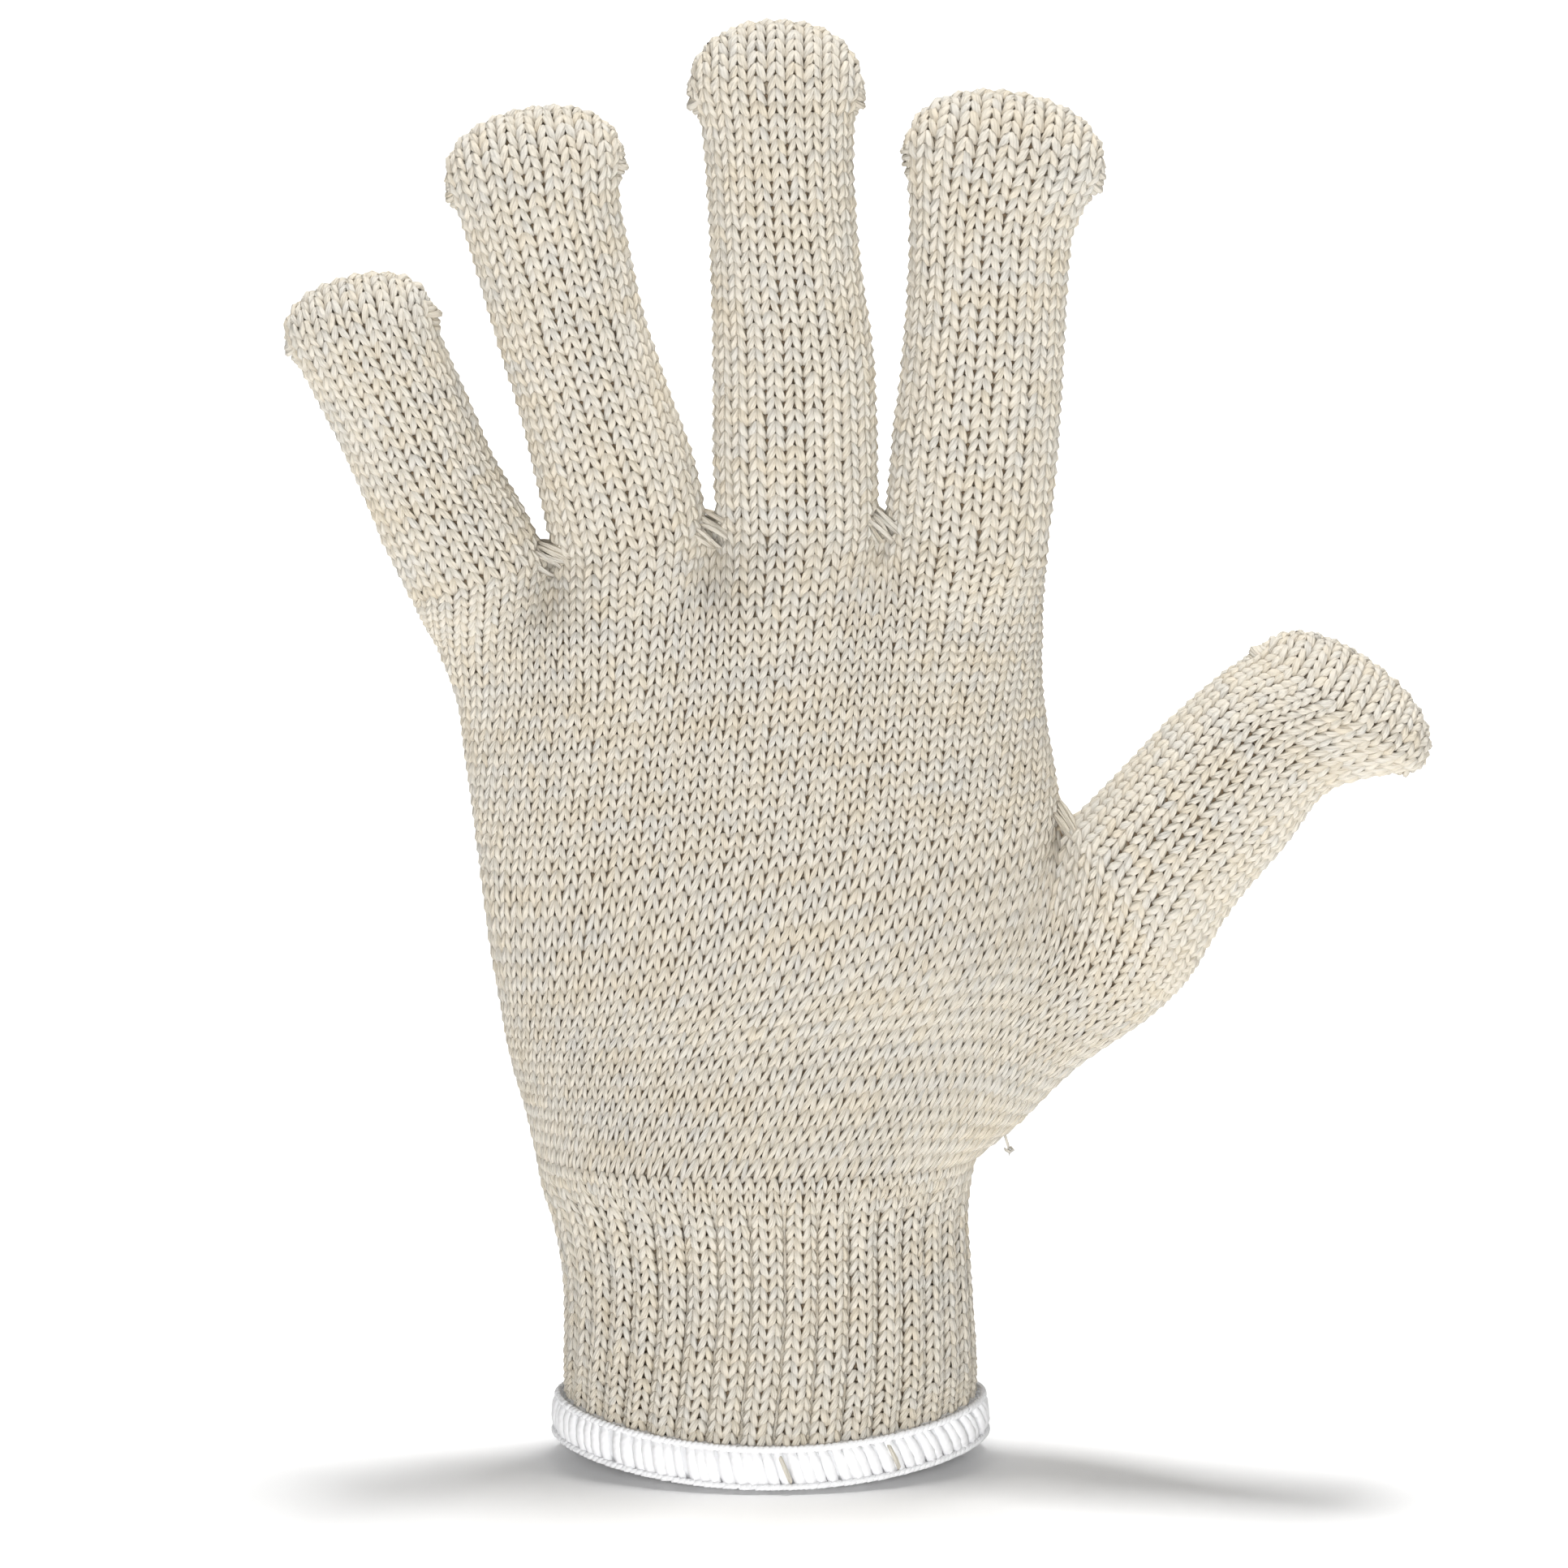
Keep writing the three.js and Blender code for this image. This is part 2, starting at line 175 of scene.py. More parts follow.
# The palm above the thumb's crotch, and the palm with the ball of the thumb below it.
UPPER_PALM_ROWS = [
    Row(-0.4945, 0.257, 0.492, 0.308, 1.03, 0.02, 0.0),
    Row(-0.504, 0.3036, 0.4835, 0.343, 1.00, 0.02, 0.003),
    Row(-0.5165, 0.3576, 0.468, 0.390, 0.97, 0.02, 0.007),
    Row(-0.527, 0.408, 0.457, 0.433, 0.94, 0.02, 0.013),
    Row(-0.556, 0.455, 0.455, 0.4727, 0.87, 0.01, 0.022),
    Row(-0.578, 0.476, 0.456, 0.501, 0.76, 0.0, 0.034),
    Row(-0.602, 0.496, 0.4615, 0.534, 0.62, 0.0, 0.048),
]
LOWER_PALM_ROWS = [
    Row(-0.404, 0.0, 0.352, 0.0, 1.35, 0.0, 0.0),
    Row(-0.423, 0.041, 0.4286, 0.0266, 1.27, 0.0, 0.0),
    Row(-0.448, 0.0878, 0.522, 0.0734, 1.19, 0.0, 0.0),
    Row(-0.464, 0.138, 0.629, 0.1165, 1.14, -0.02, 0.0),
    Row(-0.481, 0.1957, 0.687, 0.1525, 1.09, -0.04, 0.0),
    Row(-0.4945, 0.257, 0.720, 0.1813, 1.03, -0.05, 0.0),
]

# The cuff from its hem to the wrist, with up as a share of the length below the wrist.
CUFF_ROWS = [
    Row(-0.356, -0.895, 0.353, -0.895, 1.40, 0.0, -0.065),
    Row(-0.356, -0.79, 0.353, -0.79, 1.40, 0.0, -0.065),
    Row(-0.357, -0.68, 0.353, -0.68, 1.38),
    Row(-0.356, -0.525, 0.3475, -0.525, 1.34),
    Row(-0.360, -0.37, 0.342, -0.37, 1.30),
    Row(-0.376, -0.21, 0.3365, -0.21, 1.30),
    Row(-0.393, -0.11, 0.3407, -0.11, 1.33),
    Row(-0.404, 0.0, 0.352, 0.0, 1.35),
]


def unit(vectors: Array) -> Array:
    """Scales vectors to length one.

    Args:
        vectors: Any number of vectors along the last axis.

    Returns:
        The same vectors, each of length one.
    """
    return vectors / np.maximum(np.linalg.norm(vectors, axis=-1, keepdims=True), 1e-9)


def smooth_step(values: Array) -> Array:
    """Eases values from 0 to 1 with flat ends."""
    clipped = np.clip(values, 0.0, 1.0)
    return clipped * clipped * (3.0 - 2.0 * clipped)


def linear_colour(hex_code: str) -> tuple[float, float, float, float]:
    """Turns an sRGB hex colour into linear light.

    Args:
        hex_code: A colour such as "#EDE6D6".

    Returns:
        Red, green, blue and alpha, in linear light.
    """
    channels = [int(hex_code[i:i + 2], 16) / 255.0 for i in (1, 3, 5)]
    light = [c / 12.92 if c <= 0.04045 else ((c + 0.055) / 1.055) ** 2.4 for c in channels]
    return (light[0], light[1], light[2], 1.0)


def through_rows(values: Array, places: Array) -> Array:
    """Reads a smooth curve through table rows.

    Args:
        values: One line of numbers for each row.
        places: Where to read, counted in rows from the first.

    Returns:
        One line of numbers for each place.
    """
    last = len(values) - 1
    places = np.clip(places, 0.0, last)
    start = np.minimum(places.astype(int), last - 1)
    share = (places - start)[:, None]
    before = values[np.maximum(start - 1, 0)]
    here = values[start]
    after = values[start + 1]
    beyond = values[np.minimum(start + 2, last)]
    cubic = 3.0 * (here - after) + beyond - before
    square = 2.0 * before - 5.0 * here + 4.0 * after - beyond
    return here + 0.5 * share * ((after - before) + share * (square + share * cubic))


def millimetre_rows(rows: list[Row], depth_size: float, inset: float, length: float = HAND_LENGTH) -> Array:
    """Turns table rows into millimetres, drawn in by an inset on all sides.

    Args:
        rows: The table.
        depth_size: What the depth column is a share of.
        inset: How far inside the row's outline the result lies.
        length: What the up columns are shares of.

    Returns:
        For each row: left x and z, right x and z, half depth, lean and arch.
    """
    table = []
    for row in rows:
        left = np.array([row.left_across * PALM_WIDTH, CUFF_LENGTH + row.left_up * length])
        right = np.array([row.right_across * PALM_WIDTH, CUFF_LENGTH + row.right_up * length])
        across = unit(right - left)
        left += across * inset
        right -= across * inset
        half_depth = row.depth * depth_size / 2.0 - inset
        table.append([*left, *right, half_depth, row.lean * PALM_DEPTH, row.arch * length])
    return np.array(table)


def even_rows(table: Array, pitch: float) -> tuple[Array, int]:
    """Reads a table at even steps along its middle line.

    Args:
        table: Rows from millimetre_rows.
        pitch: The wanted height of a course.

    Returns:
        The rows, SAMPLES to a course and one more, and the number of courses.
    """
    places = np.linspace(0.0, len(table) - 1.0, FINE_STEPS)
    fine = through_rows(table, places)
    middle = (fine[:, 0:2] + fine[:, 2:4]) / 2.0
    middle[:, 1] += fine[:, 6]
    steps = np.linalg.norm(np.diff(middle, axis=0), axis=1)
    travelled = np.concatenate([[0.0], np.cumsum(steps)])
    courses = max(2, round(travelled[-1] / pitch))
    wanted = np.linspace(0.0, travelled[-1], courses * SAMPLES + 1)
    return through_rows(table, np.interp(wanted, travelled, places)), courses


def section_ring(row: Array, squareness: float, shares: Array) -> Array:
    """Points round one row, from its left edge over the front to its right edge and back.

    Args:
        row: One line from millimetre_rows.
        squareness: 2 for an ellipse, more for a fuller section.
        shares: Where the points lie, as shares of the way round.

    Returns:
        One point for each share.
    """
    angle = np.linspace(0.0, 2.0 * math.pi, FINE_ANGLES)
    along = -np.sign(np.cos(angle)) * np.abs(np.cos(angle)) ** (2.0 / squareness)
    back = -np.sign(np.sin(angle)) * np.abs(np.sin(angle)) ** (2.0 / squareness)
    left = np.array([row[0], 0.0, row[1]])
    right = np.array([row[2], 0.0, row[3]])
    across = unit(right - left)
    up = np.array([-across[2], 0.0, across[0]])
    half = np.linalg.norm(right - left) / 2.0
    ring = (left + right) / 2.0 + across * (half * along)[:, None]
    ring += up * (row[6] * (1.0 - along * along))[:, None]
    ring[:, 1] = row[5] + row[4] * back
    steps = np.linalg.norm(np.diff(ring, axis=0), axis=1)
    travelled = np.concatenate([[0.0], np.cumsum(steps)]) / steps.sum()
    wrapped = np.mod(shares, 1.0)
    return np.stack([np.interp(wrapped, travelled, ring[:, axis]) for axis in range(3)], axis=1)


@dataclass
class Skin:
    """The middle surface of a knitted tube, as a grid with SAMPLES points to each wale and course.

    Attributes:
        points: Rows by columns of points. The columns close into a tube.
        course_at: The course number at each point of the grid.
        wales: How many wales go round.
        open_top: Whether knitting goes on above it, so that its last course reaches over its top.
    """

    points: Array
    course_at: Array
    wales: int
    open_top: bool = False
    normals: Array = field(init=False)

    def __post_init__(self) -> None:
        """Works out the outward direction at every point of the grid."""
        around = np.roll(self.points, -1, axis=1) - np.roll(self.points, 1, axis=1)
        upward = np.gradient(self.points, axis=0)
        outward = np.cross(around, upward)
        sizes = np.linalg.norm(outward, axis=2)
        # Where a tube closes to an edge the cross product vanishes, so the row below gives the direction.
        smallest = 0.02 * np.median(sizes)
        for row in range(1, len(outward)):
            weak = sizes[row] < smallest
            outward[row][weak] = outward[row - 1][weak]
        self.normals = unit(outward)

    def courses_of(self, wale: int) -> int:
        """The number of whole courses in a wale."""
        column = (wale * SAMPLES + SAMPLES // 2) % self.points.shape[1]
        return int(round(self.course_at[-1, column]))

    def rows_at(self, wale: Array, course: Array) -> Array:
        """Finds the grid rows of courses, each in the wale that it belongs to.

        Args:
            wale: The whole number of each wale.
            course: The course numbers, in the same shape.

        Returns:
            Row numbers with fractions, in the same shape.
        """
        rows = np.zeros(course.shape)
        numbers = np.arange(len(self.points))
        for one in np.unique(wale):
            column = (one * SAMPLES + SAMPLES // 2) % self.points.shape[1]
            mine = wale == one
            rows[mine] = np.interp(course[mine], self.course_at[:, column], numbers)
        return rows

    def read(self, wale: Array, row: Array) -> tuple[Array, Array]:
        """Reads points and directions between the grid's own.

        Args:
            wale: Places round the tube, in wales.
            row: Row numbers with fractions.

        Returns:
            The points and the outward directions there.
        """
        rows, columns = self.points.shape[:2]
        column = np.mod(wale * SAMPLES, columns)
        low_column = np.floor(column).astype(int) % columns
        next_column = (low_column + 1) % columns
        low_row = np.clip(np.floor(row).astype(int), 0, rows - 2)
        column_share = (column - np.floor(column))[..., None]
        row_share = np.clip(row - low_row, 0.0, 1.0)[..., None]
        found = []
        for grid in (self.points, self.normals):
            low = grid[low_row, low_column] * (1 - column_share) + grid[low_row, next_column] * column_share
            high = grid[low_row + 1, low_column] * (1 - column_share)
            high = high + grid[low_row + 1, next_column] * column_share
            found.append(low * (1 - row_share) + high * row_share)
        return found[0], unit(found[1])


@dataclass
class MeshData:
    """Plain arrays of a mesh in millimetres.

    Attributes:
        vertices: The points.
        triangles: Three vertex numbers to a face.
        quads: Four vertex numbers to a face.
        yarn: For each vertex, its place round and along its strand and the strand's own number.
        tone: For each vertex, the strand's tone from beige at -1 to white at 1.
        tuck_shade: For each vertex, how much painted shade it gets: 0 on the crest of a strand and 1 where it
            dives under its neighbour.
    """

    vertices: Array
    triangles: Array
    quads: Array
    yarn: Array
    tone: Array
    tuck_shade: Array

    @staticmethod
    def joined(parts: list["MeshData"]) -> "MeshData":
        """Joins meshes into one.

        Args:
            parts: The meshes.

        Returns:
            One mesh with all their faces.
        """
        offsets = np.cumsum([0] + [len(part.vertices) for part in parts])
        return MeshData(
            np.concatenate([part.vertices for part in parts]),
            np.concatenate([part.triangles + offset for part, offset in zip(parts, offsets)]),
            np.concatenate([part.quads + offset for part, offset in zip(parts, offsets)]),
            np.concatenate([part.yarn for part in parts]),
            np.concatenate([part.tone for part in parts]),
            np.concatenate([part.tuck_shade for part in parts]),
        )

    def triangle_count(self) -> int:
        """How many triangles the mesh has."""
        return len(self.triangles) + 2 * len(self.quads)


@dataclass
class Strands:
    """Many strands of yarn, each through the same number of points, with pointed ends.

    Attributes:
        centres: Strands by points by three.
        facing: The outward direction at each point.
        radii: The radius at each point. The first and last are the strand's tips.
        tone: One tone for each strand.
        tuck_shade: The painted shade at each point of a strand, 1 where it dives under its neighbour.
        sides: How many sides a strand has.
        flatness: The strand's thickness as a share of its width.
    """

    centres: Array
    facing: Array
    radii: Array
    tone: Array
    tuck_shade: Array
    sides: int = 6
    flatness: float = 0.86

    def mesh(self, rng: np.random.Generator) -> MeshData:
        """Builds the strands' surface.

        Args:
            rng: Gives each strand its own number.

        Returns:
            The mesh of all strands.
        """
        count, points = self.radii.shape
        rings = points - 2
        tangent = unit(np.gradient(self.centres, axis=1))
        side = unit(np.cross(tangent, self.facing))
        out = np.cross(side, tangent)
        angle = -math.pi / 2.0 + 2.0 * math.pi * np.arange(self.sides) / self.sides
        spread = side[:, 1:-1, None] * np.cos(angle)[:, None]
        spread = spread + out[:, 1:-1, None] * (self.flatness * np.sin(angle))[:, None]
        hoops = self.centres[:, 1:-1, None] + spread * self.radii[:, 1:-1, None, None]
        ends = self.centres[:, [0, -1]]
        # A strand's vertices are its two tips and then its hoops, one after the other.
        vertices = np.concatenate([ends, hoops.reshape(count, rings * self.sides, 3)], axis=1)

        along = np.linspace(0.0, 1.0, points)
        yarn = np.zeros((count, 2 + rings * self.sides, 3))
        yarn[:, 0, :2] = (0.5, 0.0)
        yarn[:, 1, :2] = (0.5, 1.0)
        yarn[:, 2:, 0] = np.tile(np.arange(self.sides) / self.sides, rings)
        yarn[:, 2:, 1] = np.repeat(along[1:-1], self.sides)
        yarn[:, :, 2] = rng.random(count)[:, None]
        tuck_shade = np.broadcast_to(self.tuck_shade, (count, points))
        tuck_shade = np.concatenate([tuck_shade[:, [0, -1]], np.repeat(tuck_shade[:, 1:-1], self.sides, axis=1)], axis=1)
        tone = np.broadcast_to(self.tone[:, None], tuck_shade.shape)

        # Triangles close both tips, and quads join each hoop to the next.
        here = np.arange(self.sides)
        after = (here + 1) % self.sides
        last = 2 + (rings - 1) * self.sides
        start = np.stack([np.zeros_like(here), 2 + here, 2 + after], axis=1)
        end = np.stack([np.ones_like(here), last + after, last + here], axis=1)
        triangles = np.concatenate([start, end])
        quads = [
            np.stack([low + here, low + self.sides + here, low + self.sides + after, low + after], axis=1)
            for low in range(2, last, self.sides)
        ]
        quads = np.concatenate(quads) if quads else np.zeros((0, 4), int)
        shift = (np.arange(count) * vertices.shape[1])[:, None, None]
        return MeshData(
            vertices.reshape(-1, 3),
            (triangles[None] + shift).reshape(-1, 3),
            (quads[None] + shift).reshape(-1, 4),
            yarn.reshape(-1, 3),
            tone.reshape(-1),
            tuck_shade.reshape(-1),
        )


def store_values(mesh: bpy.types.Mesh, name: str, values: Array) -> None:
    """Stores a number or a vector for each vertex, which the finishes read.

    Args:
        mesh: The mesh.
        name: What the values are called.
        values: One number or three for each vertex.
    """
    kind, key = ("FLOAT_VECTOR", "vector") if values.ndim == 2 else ("FLOAT", "value")
    layer = mesh.attributes.new(name, kind, "POINT")
    layer.data.foreach_set(key, values.astype(np.float32).ravel())


def make_object(
    name: str,
    data: MeshData,
    material: bpy.types.Material,
    node: str,
) -> bpy.types.Object:
    """Makes a Blender object of a mesh, which rides on the part and stands for a CAD node.

    Args:
        name: The object's name.
        data: The mesh in millimetres.
        material: Its finish.
        node: The CAD node that it replaces.

    Returns:
        The object.
    """
    mesh = bpy.data.meshes.new(name)
    mesh.vertices.add(len(data.vertices))
    mesh.vertices.foreach_set("co", (data.vertices * MM).astype(np.float32).ravel())
    loops = np.concatenate([data.triangles.ravel(), data.quads.ravel()]).astype(np.int32)
    totals = np.concatenate([np.full(len(data.triangles), 3), np.full(len(data.quads), 4)]).astype(np.int32)
    starts = np.concatenate([[0], np.cumsum(totals)[:-1]]).astype(np.int32)
    mesh.loops.add(len(loops))
    mesh.loops.foreach_set("vertex_index", loops)
    mesh.polygons.add(len(totals))
    mesh.polygons.foreach_set("loop_start", starts)
    mesh.polygons.foreach_set("loop_total", totals)
    mesh.polygons.foreach_set("use_smooth", np.ones(len(totals), bool))
    mesh.update(calc_edges=True)
    store_values(mesh, "yarn", data.yarn)
    store_values(mesh, "tone", data.tone)
    store_values(mesh, "tuck_shade", data.tuck_shade)
    mesh.materials.append(material)
    piece = bpy.data.objects.new(name, mesh)
    bpy.context.scene.collection.objects.link(piece)
    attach(piece, BODY)
    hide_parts(node)
    LOG.info("%s: %d triangles", name, data.triangle_count())
    return piece


def add_node(
    tree: bpy.types.NodeTree,
    kind: str,
    links: dict | None = None,
    inputs: dict | None = None,
    **settings: object,
) -> bpy.types.Node:
    """Adds a shader node with its settings, values and links.

    Args:
        tree: The material's node tree.
        kind: The node's type.
        links: Output sockets to link, by the name or number of the input.
        inputs: Values to set, by the name or number of the input.
        **settings: Properties of the node itself.

    Returns:
        The node.
    """
    node = tree.nodes.new(kind)
    for name, value in settings.items():
        setattr(node, name, value)
    for socket, value in (inputs or {}).items():
        node.inputs[socket].default_value = value
    for socket, source in (links or {}).items():
        tree.links.new(source, node.inputs[socket])
    return node


def new_material(name: str) -> tuple[bpy.types.Material, bpy.types.NodeTree, bpy.types.Node]:
    """Makes a material with an output and a Principled shader.

    Args:
        name: The material's name.

    Returns:
        The material, its node tree and its shader.
    """
    material = bpy.data.materials.new(name)
    material.use_nodes = True
    tree = material.node_tree
    tree.nodes.clear()
    shader = add_node(tree, "ShaderNodeBsdfPrincipled")
    add_node(tree, "ShaderNodeOutputMaterial", links={"Surface": shader.outputs[0]})
    return material, tree, shader


@dataclass(frozen=True)
class CardedCottonYarn:
    """Recycled cotton yarn, carded, spun in soft plies and knitted without washing.

    Carding leaves the fibres crossed, so the yarn is matt with a fine halo. Its plies show as slanted
    ridges on each stitch, and fibres of cream, beige and pale grey give it a heathered look.

    Attributes:
        name: The material's name.
        cream: The colour of most fibres.
        beige: The colour of the warmest fibres.
        grey: The colour of the coolest fibres.
        painted_shade: The painted shade that the yarn darkens to where it dives under its neighbour, standing
            in for the shadow there.
        shade_power: How late along the dive the painted shade comes.
        ior: Cotton's refraction.
        roughness: How matt the fibres are.
        specular: How much of a highlight is left.
        sheen: The strength of the halo.
        sheen_roughness: How wide the halo spreads.
        plies: How many plies go round a strand.
        ply_turns: How many of their ridges a line along one stitch crosses.
        ply_height: A ply's ridge as a share of the relief.
        fibres_round: How many streaks of fibre go round a strand.
        fibres_along: How many there are along one stitch.
        fibre_shift: How far a fibre's tone differs from its strand's.
        beige_end: The share of the tones that is plain beige at one end, and plain grey at the other.
        mottle_mm: The size of the slow changes of tone over the glove.
        mottle_shift: How far they change the tone.
        relief_mm: The height of plies and fibres.
        own_turns: How far the strands' own numbers set their patterns apart.
    """

    name: str = "carded_cotton_yarn"
    cream: str = "#E3DCCE"
    beige: str = "#DFD5C2"
    grey: str = "#DBD7CE"
    painted_shade: str = "#917F68"
    shade_power: float = 1.6
    ior: float = 1.47
    roughness: float = 0.92
    specular: float = 0.25
    sheen: float = 0.06
    sheen_roughness: float = 0.5
    plies: float = 5.0
    ply_turns: float = 1.1
    ply_height: float = 0.5
    fibres_round: float = 34.0
    fibres_along: float = 3.2
    fibre_shift: float = 0.45
    beige_end: float = 0.12
    mottle_mm: float = 9.0
    mottle_shift: float = 0.35
    relief_mm: float = 0.20
    own_turns: float = 41.0

    def build(self) -> bpy.types.Material:
        """Builds the yarn's material.

        Returns:
            The material.
        """
        material, tree, shader = new_material(self.name)
        yarn = add_node(tree, "ShaderNodeAttribute", attribute_name="yarn")
        split = add_node(tree, "ShaderNodeSeparateXYZ", {0: yarn.outputs["Vector"]})
        around, along, own = split.outputs[0], split.outputs[1], split.outputs[2]

        # The plies and fibres wind round the strand: their place grows both round it and along it.
        slant = self.ply_turns / self.plies
        wound = add_node(
            tree, "ShaderNodeMath", {0: along, 2: around}, {1: slant}, operation="MULTIPLY_ADD",
        )
        started = add_node(tree, "ShaderNodeMath", {0: own}, {1: self.own_turns}, operation="MULTIPLY")
        winding, own_start = wound.outputs[0], started.outputs[0]
        ridges = self.ply_ridges(tree, winding, own_start)
        fibres = self.fibre_streaks(tree, winding, along, own_start)
        tree.links.new(self.heather(tree, fibres), shader.inputs["Base Color"])

        height = add_node(
            tree, "ShaderNodeMath", {0: ridges, 2: fibres}, {1: self.ply_height}, operation="MULTIPLY_ADD",
        )
        bump = add_node(
            tree, "ShaderNodeBump", {"Height": height.outputs[0]},
            {"Strength": 0.8, "Distance": self.relief_mm * MM},
        )
        tree.links.new(bump.outputs[0], shader.inputs["Normal"])
        shader.inputs["Roughness"].default_value = self.roughness
        shader.inputs["IOR"].default_value = self.ior
        shader.inputs["Specular IOR Level"].default_value = self.specular
        shader.inputs["Sheen Weight"].default_value = self.sheen
        shader.inputs["Sheen Roughness"].default_value = self.sheen_roughness
        shader.inputs["Sheen Tint"].default_value = linear_colour(self.cream)
        return material

    def ply_ridges(
        self, tree: bpy.types.NodeTree, winding: bpy.types.NodeSocket, own_start: bpy.types.NodeSocket,
    ) -> bpy.types.NodeSocket:
        """Makes the rounded ridges of the plies.

        Args:
            tree: The material's node tree.
            winding: The place round the strand, turned along it.
            own_start: Where the strand's pattern starts.

        Returns:
            The ridges' height, from -1 to 1.
        """
        phase = add_node(
            tree, "ShaderNodeMath", {0: winding, 2: own_start}, {1: self.plies * 2.0 * math.pi},
            operation="MULTIPLY_ADD",
        )
        return add_node(tree, "ShaderNodeMath", {0: phase.outputs[0]}, operation="SINE").outputs[0]

    def fibre_streaks(
        self,
        tree: bpy.types.NodeTree,
        winding: bpy.types.NodeSocket,
        along: bpy.types.NodeSocket,
        own_start: bpy.types.NodeSocket,
    ) -> bpy.types.NodeSocket:
        """Makes single fibres: long streaks of noise, stretched along the strand.

        Real fibres are too fine to show, so the streaks are drawn as coarse as they need to be.

        Args:
            tree: The material's node tree.
            winding: The place round the strand, turned along it.
            along: The place along the strand.
            own_start: Where the strand's pattern starts.

        Returns:
            The streaks, from 0 to 1.
        """
        across, down = (
            add_node(tree, "ShaderNodeMath", {0: way}, {1: streaks}, operation="MULTIPLY").outputs[0]
            for way, streaks in ((winding, self.fibres_round), (along, self.fibres_along))
        )
        place = add_node(tree, "ShaderNodeCombineXYZ", {0: across, 1: down, 2: own_start})
        streaks = add_node(
            tree, "ShaderNodeTexNoise", {"Vector": place.outputs[0]},
            {"Scale": 1.0, "Detail": 2.0, "Roughness": 0.6},
        )
        return streaks.outputs["Fac"]

    def heather(self, tree: bpy.types.NodeTree, fibres: bpy.types.NodeSocket) -> bpy.types.NodeSocket:
        """Mixes the yarn's colour from its strand's tone, its fibres and slow changes over the glove.

        Args:
            tree: The material's node tree.
            fibres: The streaks of fibre.

        Returns:
            The colour, with painted shade where the strand dives under its neighbour.
        """
        place = add_node(tree, "ShaderNodeTexCoord")
        mottle = add_node(
            tree, "ShaderNodeTexNoise", {"Vector": place.outputs["Object"]},
            {"Scale": 1.0 / (self.mottle_mm * MM), "Detail": 3.0, "Roughness": 0.6},
        )
        tone = add_node(tree, "ShaderNodeAttribute", attribute_name="tone").outputs["Fac"]
        for noise, shift in ((fibres, self.fibre_shift), (mottle.outputs["Fac"], self.mottle_shift)):
            change = add_node(
                tree, "ShaderNodeMapRange", {"Value": noise},
                {**NOISE_RANGE, "To Min": -shift, "To Max": shift},
            )
            added = add_node(tree, "ShaderNodeMath", {0: tone, 1: change.outputs[0]}, operation="ADD")
            tone = added.outputs[0]
        spread = add_node(
            tree, "ShaderNodeMapRange", {"Value": tone},
            {"From Min": -TONE_LIMIT, "From Max": TONE_LIMIT, "To Min": 0.0, "To Max": 1.0},
        )
        colours = add_node(tree, "ShaderNodeValToRGB", {0: spread.outputs[0]})
        ramp = colours.color_ramp
        ramp.elements[0].position = self.beige_end
        ramp.elements[0].color = linear_colour(self.beige)
        ramp.elements[1].position = 1.0 - self.beige_end
        ramp.elements[1].color = linear_colour(self.grey)
        ramp.elements.new(0.5).color = linear_colour(self.cream)

        # Painted shade: the colour darkens towards painted_shade where the strand dives under its neighbour,
        # in place of the shadow there.
        tuck_shade = add_node(tree, "ShaderNodeAttribute", attribute_name="tuck_shade").outputs["Fac"]
        depth = add_node(tree, "ShaderNodeMath", {0: tuck_shade}, {1: self.shade_power}, operation="POWER")
        shaded = add_node(
            tree, "ShaderNodeMix", {"Factor": depth.outputs[0], 6: colours.outputs[0]},
            {7: linear_colour(self.painted_shade)}, data_type="RGBA",
        )
        return shaded.outputs[2]


